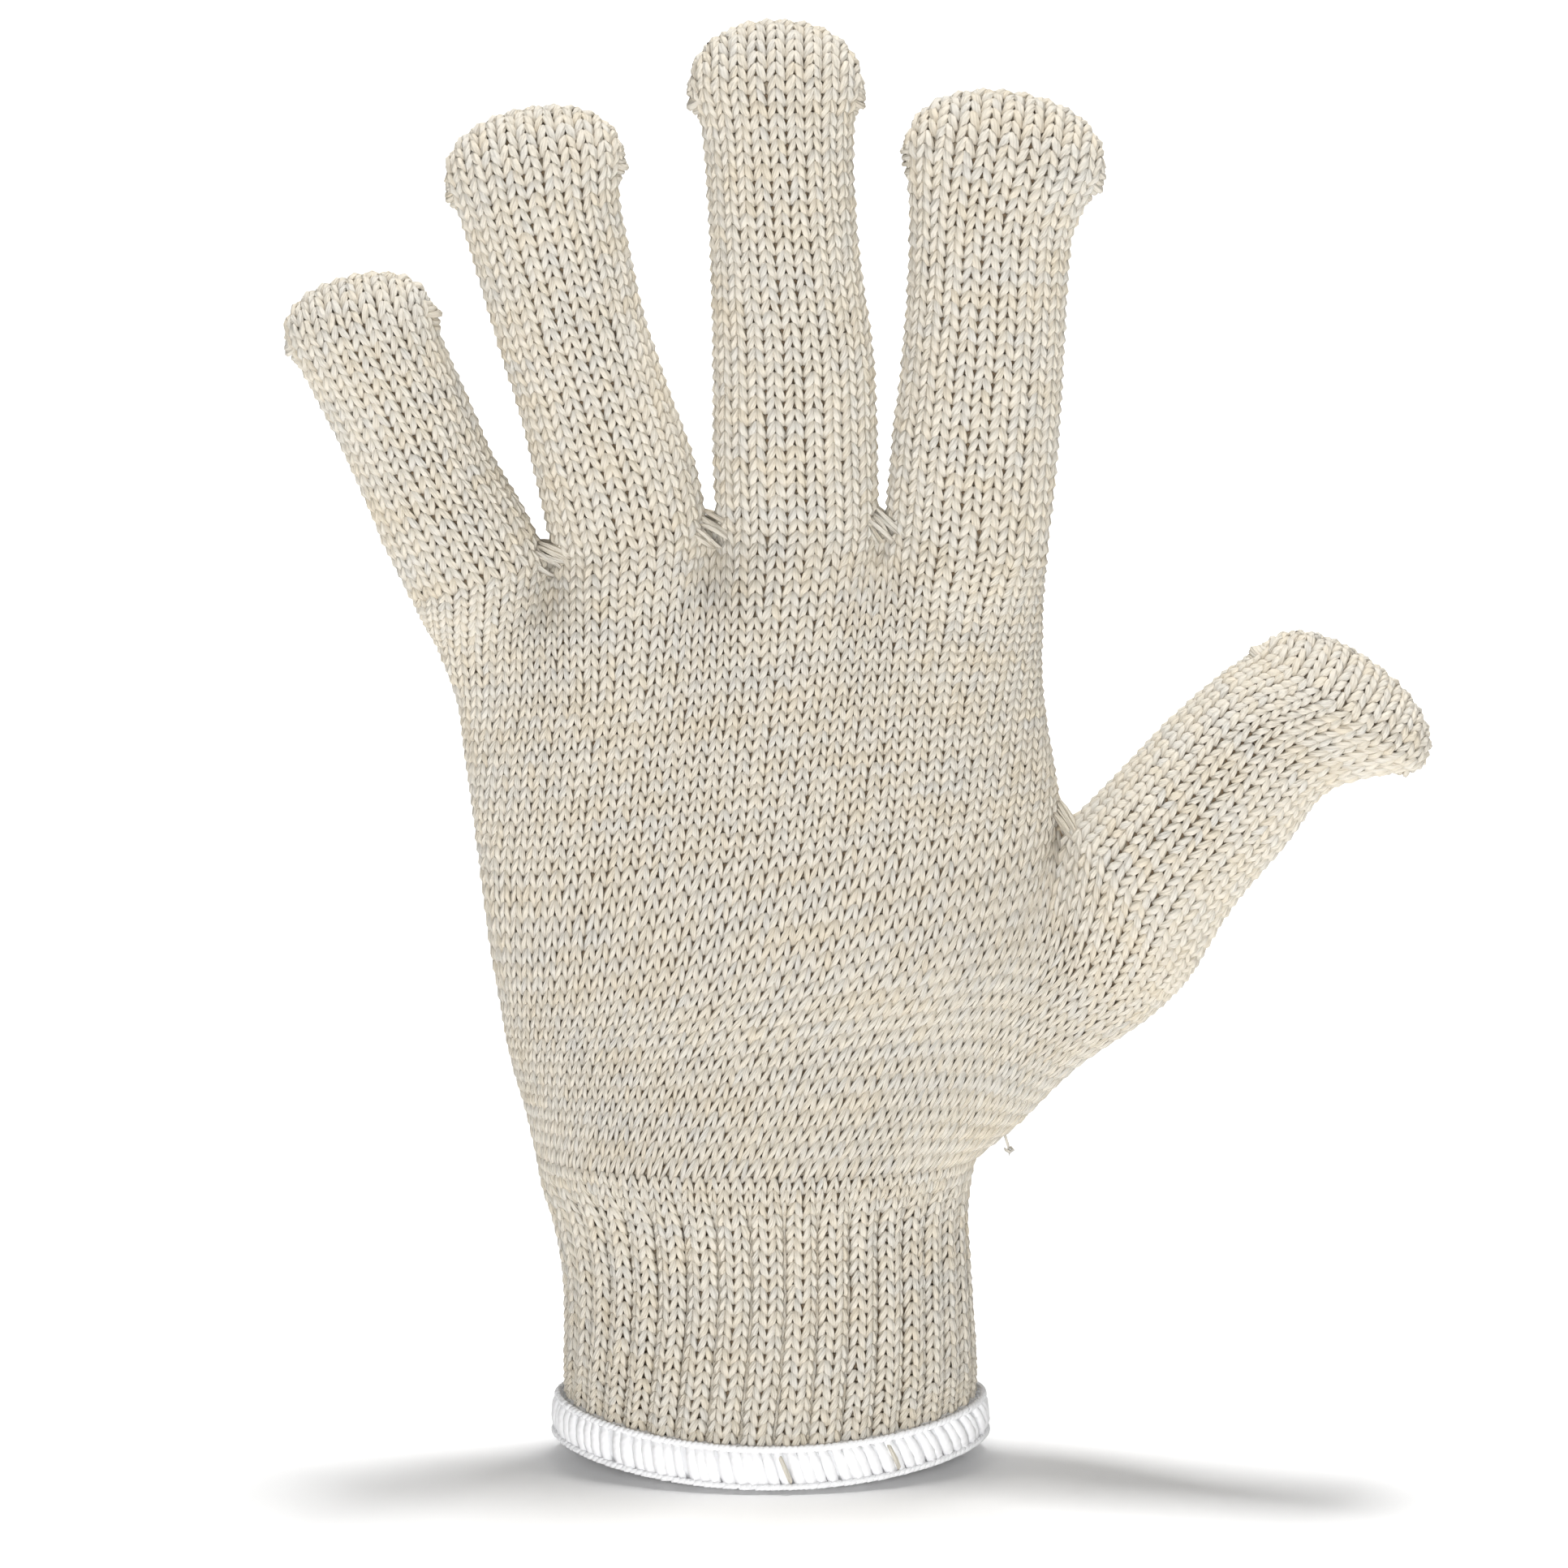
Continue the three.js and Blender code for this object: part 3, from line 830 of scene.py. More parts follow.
@dataclass(frozen=True)
class PurlFace:
    """The back of plain knitting: low wavy loops of the same cotton yarn, seen in the glove's holes.

    Attributes:
        name: The material's name.
        yarn: The colour on the crest of a loop: the cotton darkened with painted shade, for the shade in the
            holes and inside.
        gap: The deeper painted shade between two loops.
        wave: How far a loop swings up and down, in courses.
        relief_mm: The height of the loops.
        roughness: How matt they are.
        specular: How much of a highlight is left.
    """

    name: str = "purl_face_cotton_painted_shade"
    # Painted shade: the same cotton as the stitches, made darker.
    yarn: str = "#C9BCA6"
    gap: str = "#8C7962"
    wave: float = 0.22
    relief_mm: float = 0.6
    roughness: float = 0.95
    specular: float = 0.2

    def build(self) -> bpy.types.Material:
        """Builds the purl face's material.

        Returns:
            The material.
        """
        material, tree, shader = new_material(self.name)
        turn = {1: 2.0 * math.pi}
        yarn = add_node(tree, "ShaderNodeAttribute", attribute_name="yarn")
        split = add_node(tree, "ShaderNodeSeparateXYZ", {0: yarn.outputs["Vector"]})
        # Round is counted in wales and along in courses, so a loop is one turn of each wave.
        wale_turn = add_node(tree, "ShaderNodeMath", {0: split.outputs[0]}, turn, operation="MULTIPLY")
        swing = add_node(tree, "ShaderNodeMath", {0: wale_turn.outputs[0]}, operation="SINE")
        lifted = add_node(
            tree, "ShaderNodeMath", {0: swing.outputs[0], 2: split.outputs[1]}, {1: self.wave},
            operation="MULTIPLY_ADD",
        )
        course_turn = add_node(tree, "ShaderNodeMath", {0: lifted.outputs[0]}, turn, operation="MULTIPLY")
        loops = add_node(tree, "ShaderNodeMath", {0: course_turn.outputs[0]}, operation="SINE")
        height = add_node(
            tree, "ShaderNodeMapRange", {"Value": loops.outputs[0]},
            {"From Min": -1.0, "From Max": 1.0, "To Min": 0.0, "To Max": 1.0},
        )
        # Painted shade: the loops' colour darkens to the gap's deeper shade between them.
        colour = add_node(
            tree, "ShaderNodeMix", {"Factor": height.outputs[0]},
            {6: linear_colour(self.gap), 7: linear_colour(self.yarn)}, data_type="RGBA",
        )
        tree.links.new(colour.outputs[2], shader.inputs["Base Color"])
        bump = add_node(
            tree, "ShaderNodeBump", {"Height": height.outputs[0]},
            {"Strength": 1.0, "Distance": self.relief_mm * MM},
        )
        tree.links.new(bump.outputs[0], shader.inputs["Normal"])
        shader.inputs["Roughness"].default_value = self.roughness
        shader.inputs["Specular IOR Level"].default_value = self.specular
        return material


@dataclass(frozen=True)
class OverlockThread:
    """White spun polyester sewing thread, wrapped tightly over a cut edge.

    Spun thread is brighter and smoother than the yarn, with a fine twist across it.

    Attributes:
        name: The material's name.
        white: The thread's colour.
        painted_shade: The painted shade that it darkens to where it dives under.
        twists_round: How many ridges of the twist go round a strand.
        twists_along: How many turns the ridges wind along a strand.
        relief_mm: The height of the twist.
        roughness: How matt the thread is.
        sheen: The strength of its halo.
    """

    name: str = "white_overlock_thread"
    white: str = "#F8F8F9"
    painted_shade: str = "#D2D4D8"
    twists_round: float = 2.0
    twists_along: float = 9.0
    relief_mm: float = 0.05
    roughness: float = 0.6
    sheen: float = 0.15

    def build(self) -> bpy.types.Material:
        """Builds the thread's material.

        Returns:
            The material.
        """
        material, tree, shader = new_material(self.name)
        yarn = add_node(tree, "ShaderNodeAttribute", attribute_name="yarn")
        tuck_shade = add_node(tree, "ShaderNodeAttribute", attribute_name="tuck_shade").outputs["Fac"]
        split = add_node(tree, "ShaderNodeSeparateXYZ", {0: yarn.outputs["Vector"]})
        winding = add_node(
            tree, "ShaderNodeMath", {0: split.outputs[1], 2: split.outputs[0]}, {1: self.twists_along},
            operation="MULTIPLY_ADD",
        )
        phase = add_node(
            tree, "ShaderNodeMath", {0: winding.outputs[0]}, {1: self.twists_round * 2.0 * math.pi},
            operation="MULTIPLY",
        )
        twist = add_node(tree, "ShaderNodeMath", {0: phase.outputs[0]}, operation="SINE")
        bump = add_node(
            tree, "ShaderNodeBump", {"Height": twist.outputs[0]},
            {"Strength": 0.35, "Distance": self.relief_mm * MM},
        )
        # Painted shade: the thread darkens where it dives under.
        colour = add_node(
            tree, "ShaderNodeMix", {"Factor": tuck_shade},
            {6: linear_colour(self.white), 7: linear_colour(self.painted_shade)}, data_type="RGBA",
        )
        tree.links.new(colour.outputs[2], shader.inputs["Base Color"])
        tree.links.new(bump.outputs[0], shader.inputs["Normal"])
        shader.inputs["Roughness"].default_value = self.roughness
        shader.inputs["Sheen Weight"].default_value = self.sheen
        return material


@dataclass(frozen=True)
class StudioPaper:
    """Matt white background paper, which stays a plain pale floor.

    Attributes:
        name: The material's name.
        white: The paper's colour.
        grain_mm: The size of its faint grain.
        roughness: How matt it is.
    """

    name: str = "matt_white_paper"
    white: str = "#FFFFFF"
    grain_mm: float = 1.11
    roughness: float = 0.9

    def build(self) -> bpy.types.Material:
        """Builds the paper's material.

        Returns:
            The material.
        """
        material, tree, shader = new_material(self.name)
        place = add_node(tree, "ShaderNodeTexCoord")
        grain = add_node(
            tree, "ShaderNodeTexNoise", {"Vector": place.outputs["Object"]},
            {"Scale": 1.0 / (self.grain_mm * MM)},
        )
        bump = add_node(tree, "ShaderNodeBump", {"Height": grain.outputs["Fac"]}, {"Strength": 0.02})
        tree.links.new(bump.outputs[0], shader.inputs["Normal"])
        shader.inputs["Base Color"].default_value = linear_colour(self.white)
        shader.inputs["Roughness"].default_value = self.roughness
        return material


@dataclass(frozen=True)
class Finishes:
    """The materials that the pieces share.

    Attributes:
        yarn: The glove's yarn.
        purl: The purl side under the stitches.
        thread: The hem's thread.
    """

    yarn: bpy.types.Material
    purl: bpy.types.Material
    thread: bpy.types.Material


class Face(Enum):
    """The two faces of the glove."""

    FRONT = "front"
    BACK = "back"


# The right leg of a plain stitch, from where it comes out under the loop above to where it goes in
# again. Across is in wales from the stitch's middle, along is in courses from its top, and height and
# radius are shares of the yarn's radius.
LEG_ACROSS = np.array([0.03, 0.105, 0.24, 0.385, 0.36])
LEG_ALONG = np.array([0.52, 0.24, -0.34, -0.93, -1.32])
LEG_HEIGHT = np.array([-1.40, 0.18, 0.50, -0.35, -1.50])
LEG_RADIUS = np.array([0.0, 0.88, 1.0, 0.84, 0.0])
# Painted shade along the leg: most at its ends, where it dives under the loops.
LEG_TUCK_SHADE = np.array([1.0, 0.18, 0.0, 0.42, 1.0])

# How stitches differ: sideways in wales, along in courses, and in shares of their spread and thickness.
STITCH_SWAY = 0.02
STITCH_SLIP = 0.03
STITCH_SPREAD = 0.05
STITCH_THICKNESS = 0.06

# The yarn's tone drifts over this many wales, by the first amount, and each stitch by the second.
TONE_SPAN = 5
TONE_DRIFT = 0.30
TONE_JITTER = 0.34

# A loose fibre's shortest and longest length, how far it leans, and its radii from its root.
FIBRE_LENGTHS = (0.5, 1.5)
FIBRE_LEAN = 0.8
FIBRE_RADII = np.array([0.0, 0.022, 0.018, 0.0])


@dataclass
class KnittedTube:
    """A knitted tube: its stitches, and the purl side that shows in its holes and inside.

    Attributes:
        name: The CAD node that it stands for.
        skin: The surface that its stitches lie on.
        rng: Gives each stitch its small differences.
    """

    name: str
    skin: Skin
    rng: np.random.Generator

    def stitches(self, wales: range) -> tuple[Array, Array]:
        """Lists the stitches of some wales.

        Args:
            wales: Which wales to list.

        Returns:
            The wale and the course of each stitch.
        """
        pairs = [(wale, course) for wale in wales for course in range(self.skin.courses_of(wale))]
        listed = np.array(pairs)
        return listed[:, 0], listed[:, 1]

    def heather(self, wale: Array, course: Array) -> Array:
        """Gives each stitch a tone that drifts along the yarn, which runs along the courses.

        Args:
            wale: The stitches' wales.
            course: The stitches' courses.

        Returns:
            A tone for each stitch, mostly between -1 and 1.
        """
        knots = self.rng.normal(0.0, TONE_DRIFT, (course.max() + 1, self.skin.wales // TONE_SPAN + 2))
        place = wale / TONE_SPAN
        low = place.astype(int)
        share = smooth_step(place - low)
        drift = knots[course, low] * (1 - share) + knots[course, low + 1] * share
        return drift + self.rng.normal(0.0, TONE_JITTER, len(wale))

    def legs(self, wales: range) -> Strands:
        """Lays both legs of every stitch on the skin.

        Args:
            wales: Which wales to knit.

        Returns:
            The strands of yarn.
        """
        wale, course = self.stitches(wales)
        wale = np.repeat(wale, 2)
        course = np.repeat(course, 2)
        hand = np.tile([-1.0, 1.0], len(wale) // 2)[:, None]
        count = len(wale)
        sway = self.rng.normal(0.0, STITCH_SWAY, (count, 1))
        slip = self.rng.normal(0.0, STITCH_SLIP, (count, 1))
        spread = 1 + self.rng.normal(0.0, STITCH_SPREAD, (count, 1))
        across = wale[:, None] + 0.5 + hand * LEG_ACROSS * spread + sway
        along = course[:, None] + 1.0 + LEG_ALONG + slip
        owner = np.broadcast_to(wale[:, None], along.shape)
        top = self.skin.course_at[-1].max()
        kept = np.clip(along, 0.0, top)
        rows = self.skin.rows_at(owner, kept)
        points, normals = self.skin.read(across, rows)
        left, _ = self.skin.read(wale.astype(float), rows[:, 2])
        right, _ = self.skin.read(wale + 1.0, rows[:, 2])
        pitch = np.linalg.norm(right - left, axis=1)
        plump = np.clip(YARN_TO_WALE * pitch, THINNEST_YARN, THICKEST_YARN)
        plump = plump * (1 + self.rng.normal(0.0, STITCH_THICKNESS, count))
        centres = points + normals * (LEG_HEIGHT * plump[:, None])[..., None]
        # The first course's feet reach below the tube, and an open tube's last course over its top.
        beyond = (along - kept) * COURSE_PITCH
        if not self.skin.open_top:
            beyond = np.minimum(beyond, 0.0)
        upward = unit(points[:, :1] - points[:, -1:])
        centres = centres + upward * beyond[..., None]
        radii = LEG_RADIUS * plump[:, None]
        return Strands(centres, normals, radii, self.heather(wale, course), LEG_TUCK_SHADE)

    def wall(self) -> MeshData:
        """Builds the purl side: a thin wall under the stitches, with one face to a wale.

        Returns:
            The wall's mesh.
        """
        points = self.skin.points[::SAMPLES, ::SAMPLES]
        normals = self.skin.normals[::SAMPLES, ::SAMPLES]
        rows, columns = points.shape[:2]
        outer = points - normals * YARN_RADIUS
        inner = points - normals * (KNIT_WALL - YARN_RADIUS)
        index = np.arange(rows * columns).reshape(rows, columns)
        low, high = index[:-1], index[1:]
        low_next, high_next = np.roll(low, -1, axis=1), np.roll(high, -1, axis=1)
        outside = np.stack([low, low_next, high_next, high], axis=-1).reshape(-1, 4)
        inside = outside[:, ::-1] + rows * columns
        edge, edge_next = index[0], np.roll(index[0], -1)
        rim = np.stack([edge, edge + rows * columns, edge_next + rows * columns, edge_next], axis=1)
        vertices = np.concatenate([outer.reshape(-1, 3), inner.reshape(-1, 3)])
        yarn = np.zeros((len(vertices), 3))
        yarn[:, 0] = np.tile(np.tile(np.arange(columns), rows), 2)
        yarn[:, 1] = np.tile(np.repeat(np.arange(rows), columns), 2)
        empty = np.zeros(len(vertices))
        quads = np.concatenate([outside, inside, rim])
        return MeshData(vertices, np.zeros((0, 3), int), quads, yarn, empty, empty)

    def fuzz(self, count: int) -> Strands:
        """Stands loose fibres on the skin.

        Args:
            count: How many fibres.

        Returns:
            The fibres, each with four points.
        """
        wale = self.rng.random(count) * self.skin.wales
        row = self.rng.random(count) * (len(self.skin.points) - 1.0)
        points, normals = self.skin.read(wale, row)
        lean = self.rng.normal(0.0, FIBRE_LEAN, (count, 3))
        length = self.rng.uniform(*FIBRE_LENGTHS, (count, 1))
        first = unit(normals + lean * 0.6)
        second = unit(normals * 0.5 + lean)
        root = points + normals * YARN_RADIUS * 0.7
        path = [root, root + first * length * 0.35, root + first * length * 0.6 + second * length * 0.2]
        path.append(path[-1] + second * length * 0.4)
        radii = np.tile(FIBRE_RADII, (count, 1))
        facing = np.broadcast_to(normals[:, None], (count, len(path), 3))
        tone = self.rng.normal(0.3, 0.3, count)
        centres = np.stack(path, axis=1)
        return Strands(centres, facing, radii, tone, np.zeros(len(path)), sides=3, flatness=1.0)

    def build(self, finishes: Finishes, pieces: dict[str, range], fibres: int) -> None:
        """Builds the tube's pieces.

        Args:
            finishes: The shared materials.
            pieces: The wales of each piece of stitches, by a word for its name.
            fibres: How many loose fibres stand on the tube.
        """
        make_object(f"{self.name}_purl_side", self.wall(), finishes.purl, self.name)
        for word, wales in pieces.items():
            make_object(f"{self.name}_{word}", self.legs(wales).mesh(self.rng), finishes.yarn, self.name)
        make_object(f"{self.name}_fuzz", self.fuzz(fibres).mesh(self.rng), finishes.yarn, self.name)


@dataclass
class Stall:
    """A finger or thumb stall: a tube that closes in a rounded pouch between two knitted ears.

    Attributes:
        name: The CAD node that it stands for.
        rows: Its table.
        tip_rise: The tip's height over the ears, as a share of HAND_LENGTH.
        depth_size: What the depth column is a share of.
        wales: How many wales go round it.
    """

    name: str
    rows: list[Row]
    tip_rise: float
    depth_size: float
    wales: int
    skin: Skin = field(init=False)

    def __post_init__(self) -> None:
        """Works out the stall's skin."""
        table = millimetre_rows(self.rows, self.depth_size, YARN_RADIUS)
        rows, courses = even_rows(table, COURSE_PITCH)
        columns = self.wales * SAMPLES
        shares = np.arange(columns) / columns
        tube = np.stack([section_ring(row, ROUND, shares) for row in rows])
        tip = self.close_tip(rows[-1], tube[-1])
        steps = np.linalg.norm(np.diff(np.concatenate([tube[-1:], tip]), axis=0), axis=2)
        travelled = np.cumsum(steps, axis=0)
        whole = np.round(travelled[-1] / COURSE_PITCH)
        numbers = travelled / np.maximum(travelled[-1], 1e-6) * whole
        tube_numbers = np.repeat(np.arange(len(rows))[:, None] / SAMPLES, columns, axis=1)
        # The numbers have to rise even where the edge has no height, so each row gets a hair more.
        hair = 1e-6 * np.arange(len(tip))[:, None]
        course_at = np.concatenate([tube_numbers, courses + numbers + hair])
        self.skin = Skin(np.concatenate([tube, tip]), course_at, self.wales)

    def close_tip(self, row: Array, ring: Array) -> Array:
        """Closes the tube over its last ring: both faces curve in to one arched edge.

        Args:
            row: The ear row.
            ring: The points of the ear row.

        Returns:
            The rows of points above the ear row.
        """
        left = np.array([row[0], 0.0, row[1]])
        right = np.array([row[2], 0.0, row[3]])
        across = unit(right - left)
        up = np.array([-across[2], 0.0, across[0]])
        half = np.linalg.norm(right - left) / 2.0
        middle = (left + right) / 2.0
        sideways = (ring - middle) @ across / half
        rise = self.tip_rise * HAND_LENGTH - YARN_RADIUS
        height = rise * (1.0 - np.minimum(np.abs(sideways), 1.0) ** TIP_ARCH) ** (1.0 / TIP_ARCH)
        rows = []
        for angle in np.linspace(0.0, math.pi / 2.0, TIP_ROWS + 1)[1:]:
            points = ring + up * (height * math.sin(angle))[:, None]
            points[:, 1] = row[5] + (ring[:, 1] - row[5]) * math.cos(angle)
            rows.append(points)
        return np.array(rows)


def laid_strand(skin: Skin, wales: Array, courses: Array, heights: Array) -> tuple[Array, Array]:
    """Lays strands on a skin.

    Args:
        skin: The skin.
        wales: Places round it in wales, strands by points.
        courses: Places along it in courses, in the same shape.
        heights: How far each point stands off the skin, in millimetres.

    Returns:
        The strands' points and their outward directions.
    """
    rows = skin.rows_at(np.mod(np.floor(wales), skin.wales).astype(int), courses)
    points, normals = skin.read(wales, rows)
    return points + normals * heights[..., None], normals


@dataclass
class TipSeam:
    """The grafted edge of a fingertip, and the two knitted ears at its ends.

    Attributes:
        stall: The stall that it closes.
        rng: Gives each loop its small differences.
        reach: How many courses a loop reaches down each face.
        slant: How many wales a loop leans over the edge.
        ear_loops: How many loops make an ear.
        ear_bulge: How far the ear's loops stand out, in millimetres.
        ear_reach: How many wales an ear's loop reaches to each side.
        ear_pitch: How many courses lie between two loops of an ear.
    """

    stall: Stall
    rng: np.random.Generator
    reach: float = 1.5
    slant: float = 0.45
    ear_loops: int = 5
    ear_bulge: float = 1.7
    ear_reach: float = 1.35
    ear_pitch: float = 0.46

    def edge_loops(self) -> Strands:
        """The loops over the arched edge, one to a wale.

        Returns:
            The strands.
        """
        skin = self.stall.skin
        half = skin.wales // 2
        count = half - 1
        wale = (1.0 + np.arange(count) + self.rng.normal(0.0, 0.06, count))[:, None]
        step = np.array([-1.0, -0.55, -0.2, 0.0, 0.2, 0.55, 1.0])
        around = wale + self.slant * step
        places = np.where(step <= 0.0, around, skin.wales - around)
        tops = skin.course_at[-1, (places * SAMPLES).astype(int) % (skin.wales * SAMPLES)]
        courses = np.maximum(tops - self.reach * np.abs(step), 0.0)
        heights = YARN_RADIUS * np.array([-0.9, 0.35, 0.8, 0.95, 0.8, 0.35, -0.9])
        points, normals = laid_strand(skin, places, courses, np.broadcast_to(heights, courses.shape))
        widths = np.array([0.0, 0.55, 0.62, 0.64, 0.62, 0.55, 0.0])
        radii = widths * (1 + self.rng.normal(0.0, 0.08, (count, 1)))
        # Painted shade where the loop dives into the knit.
        tuck_shade = np.array([1.0, 0.35, 0.1, 0.0, 0.1, 0.35, 1.0])
        return Strands(points, normals, radii, self.rng.normal(0.0, 0.4, count), tuck_shade)

    def ear_knots(self) -> Strands:
        """The bundles of loops that stick out at both ends of the edge.

        Returns:
            The strands.
        """
        skin = self.stall.skin
        half = skin.wales / 2
        step = np.array([-1.0, -0.6, -0.25, 0.0, 0.25, 0.6, 1.0])
        bulge = np.array([-0.3, 0.15, 0.70, 1.0, 0.70, 0.15, -0.3])
        lines = []
        for edge in (0.0, half):
            top = skin.course_at[-1, int(edge * SAMPLES)]
            for number in range(self.ear_loops):
                down = number * self.ear_pitch - 0.3 + self.rng.normal(0.0, 0.08)
                wales = edge + self.ear_reach * step
                courses = top - 0.35 - down + 0.9 * np.abs(step) ** 1.3 + 0.35 * step * (1 if edge else -1)
                size = self.ear_bulge * (1.0 - 0.26 * abs(number - 2.0)) * (1 + self.rng.normal(0.0, 0.12))
                lines.append((wales, courses, size * bulge - 0.25))
        wales, courses, heights = (np.array(column) for column in zip(*lines))
        points, normals = laid_strand(skin, wales, courses, heights)
        count = len(lines)
        widths = np.array([0.0, 0.52, 0.60, 0.62, 0.60, 0.52, 0.0])
        radii = widths * (1 + self.rng.normal(0.0, 0.1, (count, 1)))
        # Painted shade where the ear's loop dives into the knit.
        tuck_shade = np.array([1.0, 0.4, 0.1, 0.0, 0.1, 0.4, 1.0])
        return Strands(points, normals, radii, self.rng.normal(0.0, 0.4, count), tuck_shade)

    def build(self, finishes: Finishes) -> None:
        """Builds the seam's piece.

        Args:
            finishes: The shared materials.
        """
        data = MeshData.joined([self.edge_loops().mesh(self.rng), self.ear_knots().mesh(self.rng)])
        make_object(f"{self.stall.name}_tip_seam", data, finishes.yarn, self.stall.name)


@dataclass
class CrotchDarn:
    """The yarn ends darned over the gap where two tubes part.

    Attributes:
        name: The piece's name.
        node: The CAD node that it belongs to.
        left: The tube left of the gap.
        left_wale: The wale at that tube's edge.
        right: The tube right of the gap, whose edge is its first wale.
        rng: Places the strands.
        strands_per_face: How many strands cross the gap on each face.
        scatter: How far a strand's ends stray, in wales and courses.
    """

    name: str
    node: str
    left: Skin
    left_wale: float
    right: Skin
    rng: np.random.Generator
    strands_per_face: int = 9
    scatter: float = 0.4

    def foot(self, skin: Skin, wale: float, course: float) -> tuple[Array, Array]:
        """Finds where a strand goes into the knit.

        Args:
            skin: The tube above the gap's side.
            wale: The place round it.
            course: The place along it. One below 0 is on the palm under the tube.

        Returns:
            The point and the outward direction there.
        """
        on_tube = np.array([[max(course, 0.0)]])
        points, normals = laid_strand(skin, np.array([[wale]]), on_tube, np.zeros((1, 1)))
        below = min(course, 0.0) * COURSE_PITCH
        out = normals[0, 0]
        return points[0, 0] + np.array([0.0, 0.0, below]) - out * (0.25 * below + 0.1), out

    def strands(self) -> Strands:
        """The strands on both faces.

        Returns:
            The strands.
        """
        share = np.linspace(0.0, 1.0, 7)[:, None]
        paths, facings = [], []
        for side in (1.0, -1.0):
            for number in range(self.strands_per_face):
                across = number / (self.strands_per_face - 1.0)
                shift = self.rng.uniform(-self.scatter, self.scatter, 4)
                # The lowest strand starts farthest in on the left tube and ends at the right one's edge.
                inward = 1.9 - 1.5 * across + shift[0]
                start = (self.left_wale - side * inward, 0.6 + 1.2 * across + shift[1])
                end = (side * (0.5 + 2.1 * across + shift[2]), -1.6 + 1.5 * across + shift[3])
                first, out_first = self.foot(self.left, *start)
                last, out_last = self.foot(self.right, *end)
                out = unit(out_first + out_last + 1e-6)
                bow = np.sin(math.pi * share) * self.rng.uniform(-0.2, 0.5)
                sway = np.sin(math.pi * share) * self.rng.normal(0.0, 0.35)
                path = first * (1 - share) + last * share + out * bow + np.array([0.0, 0.0, 1.0]) * sway
                paths.append(path)
                facings.append(np.broadcast_to(out, path.shape))
        count = len(paths)
        widths = np.array([0.0, 0.36, 0.44, 0.46, 0.44, 0.36, 0.0])
        radii = widths * (1 + self.rng.normal(0.0, 0.15, (count, 1)))
        # Painted shade where the strand goes into the knit.
        tuck_shade = np.array([0.8, 0.3, 0.1, 0.0, 0.1, 0.3, 0.8])
        return Strands(np.array(paths), np.array(facings), radii, self.rng.normal(-0.1, 0.4, count), tuck_shade)

    def build(self, finishes: Finishes) -> None:
        """Builds the darn's piece.

        Args:
            finishes: The shared materials.
        """
        make_object(self.name, self.strands().mesh(self.rng), finishes.yarn, self.node)


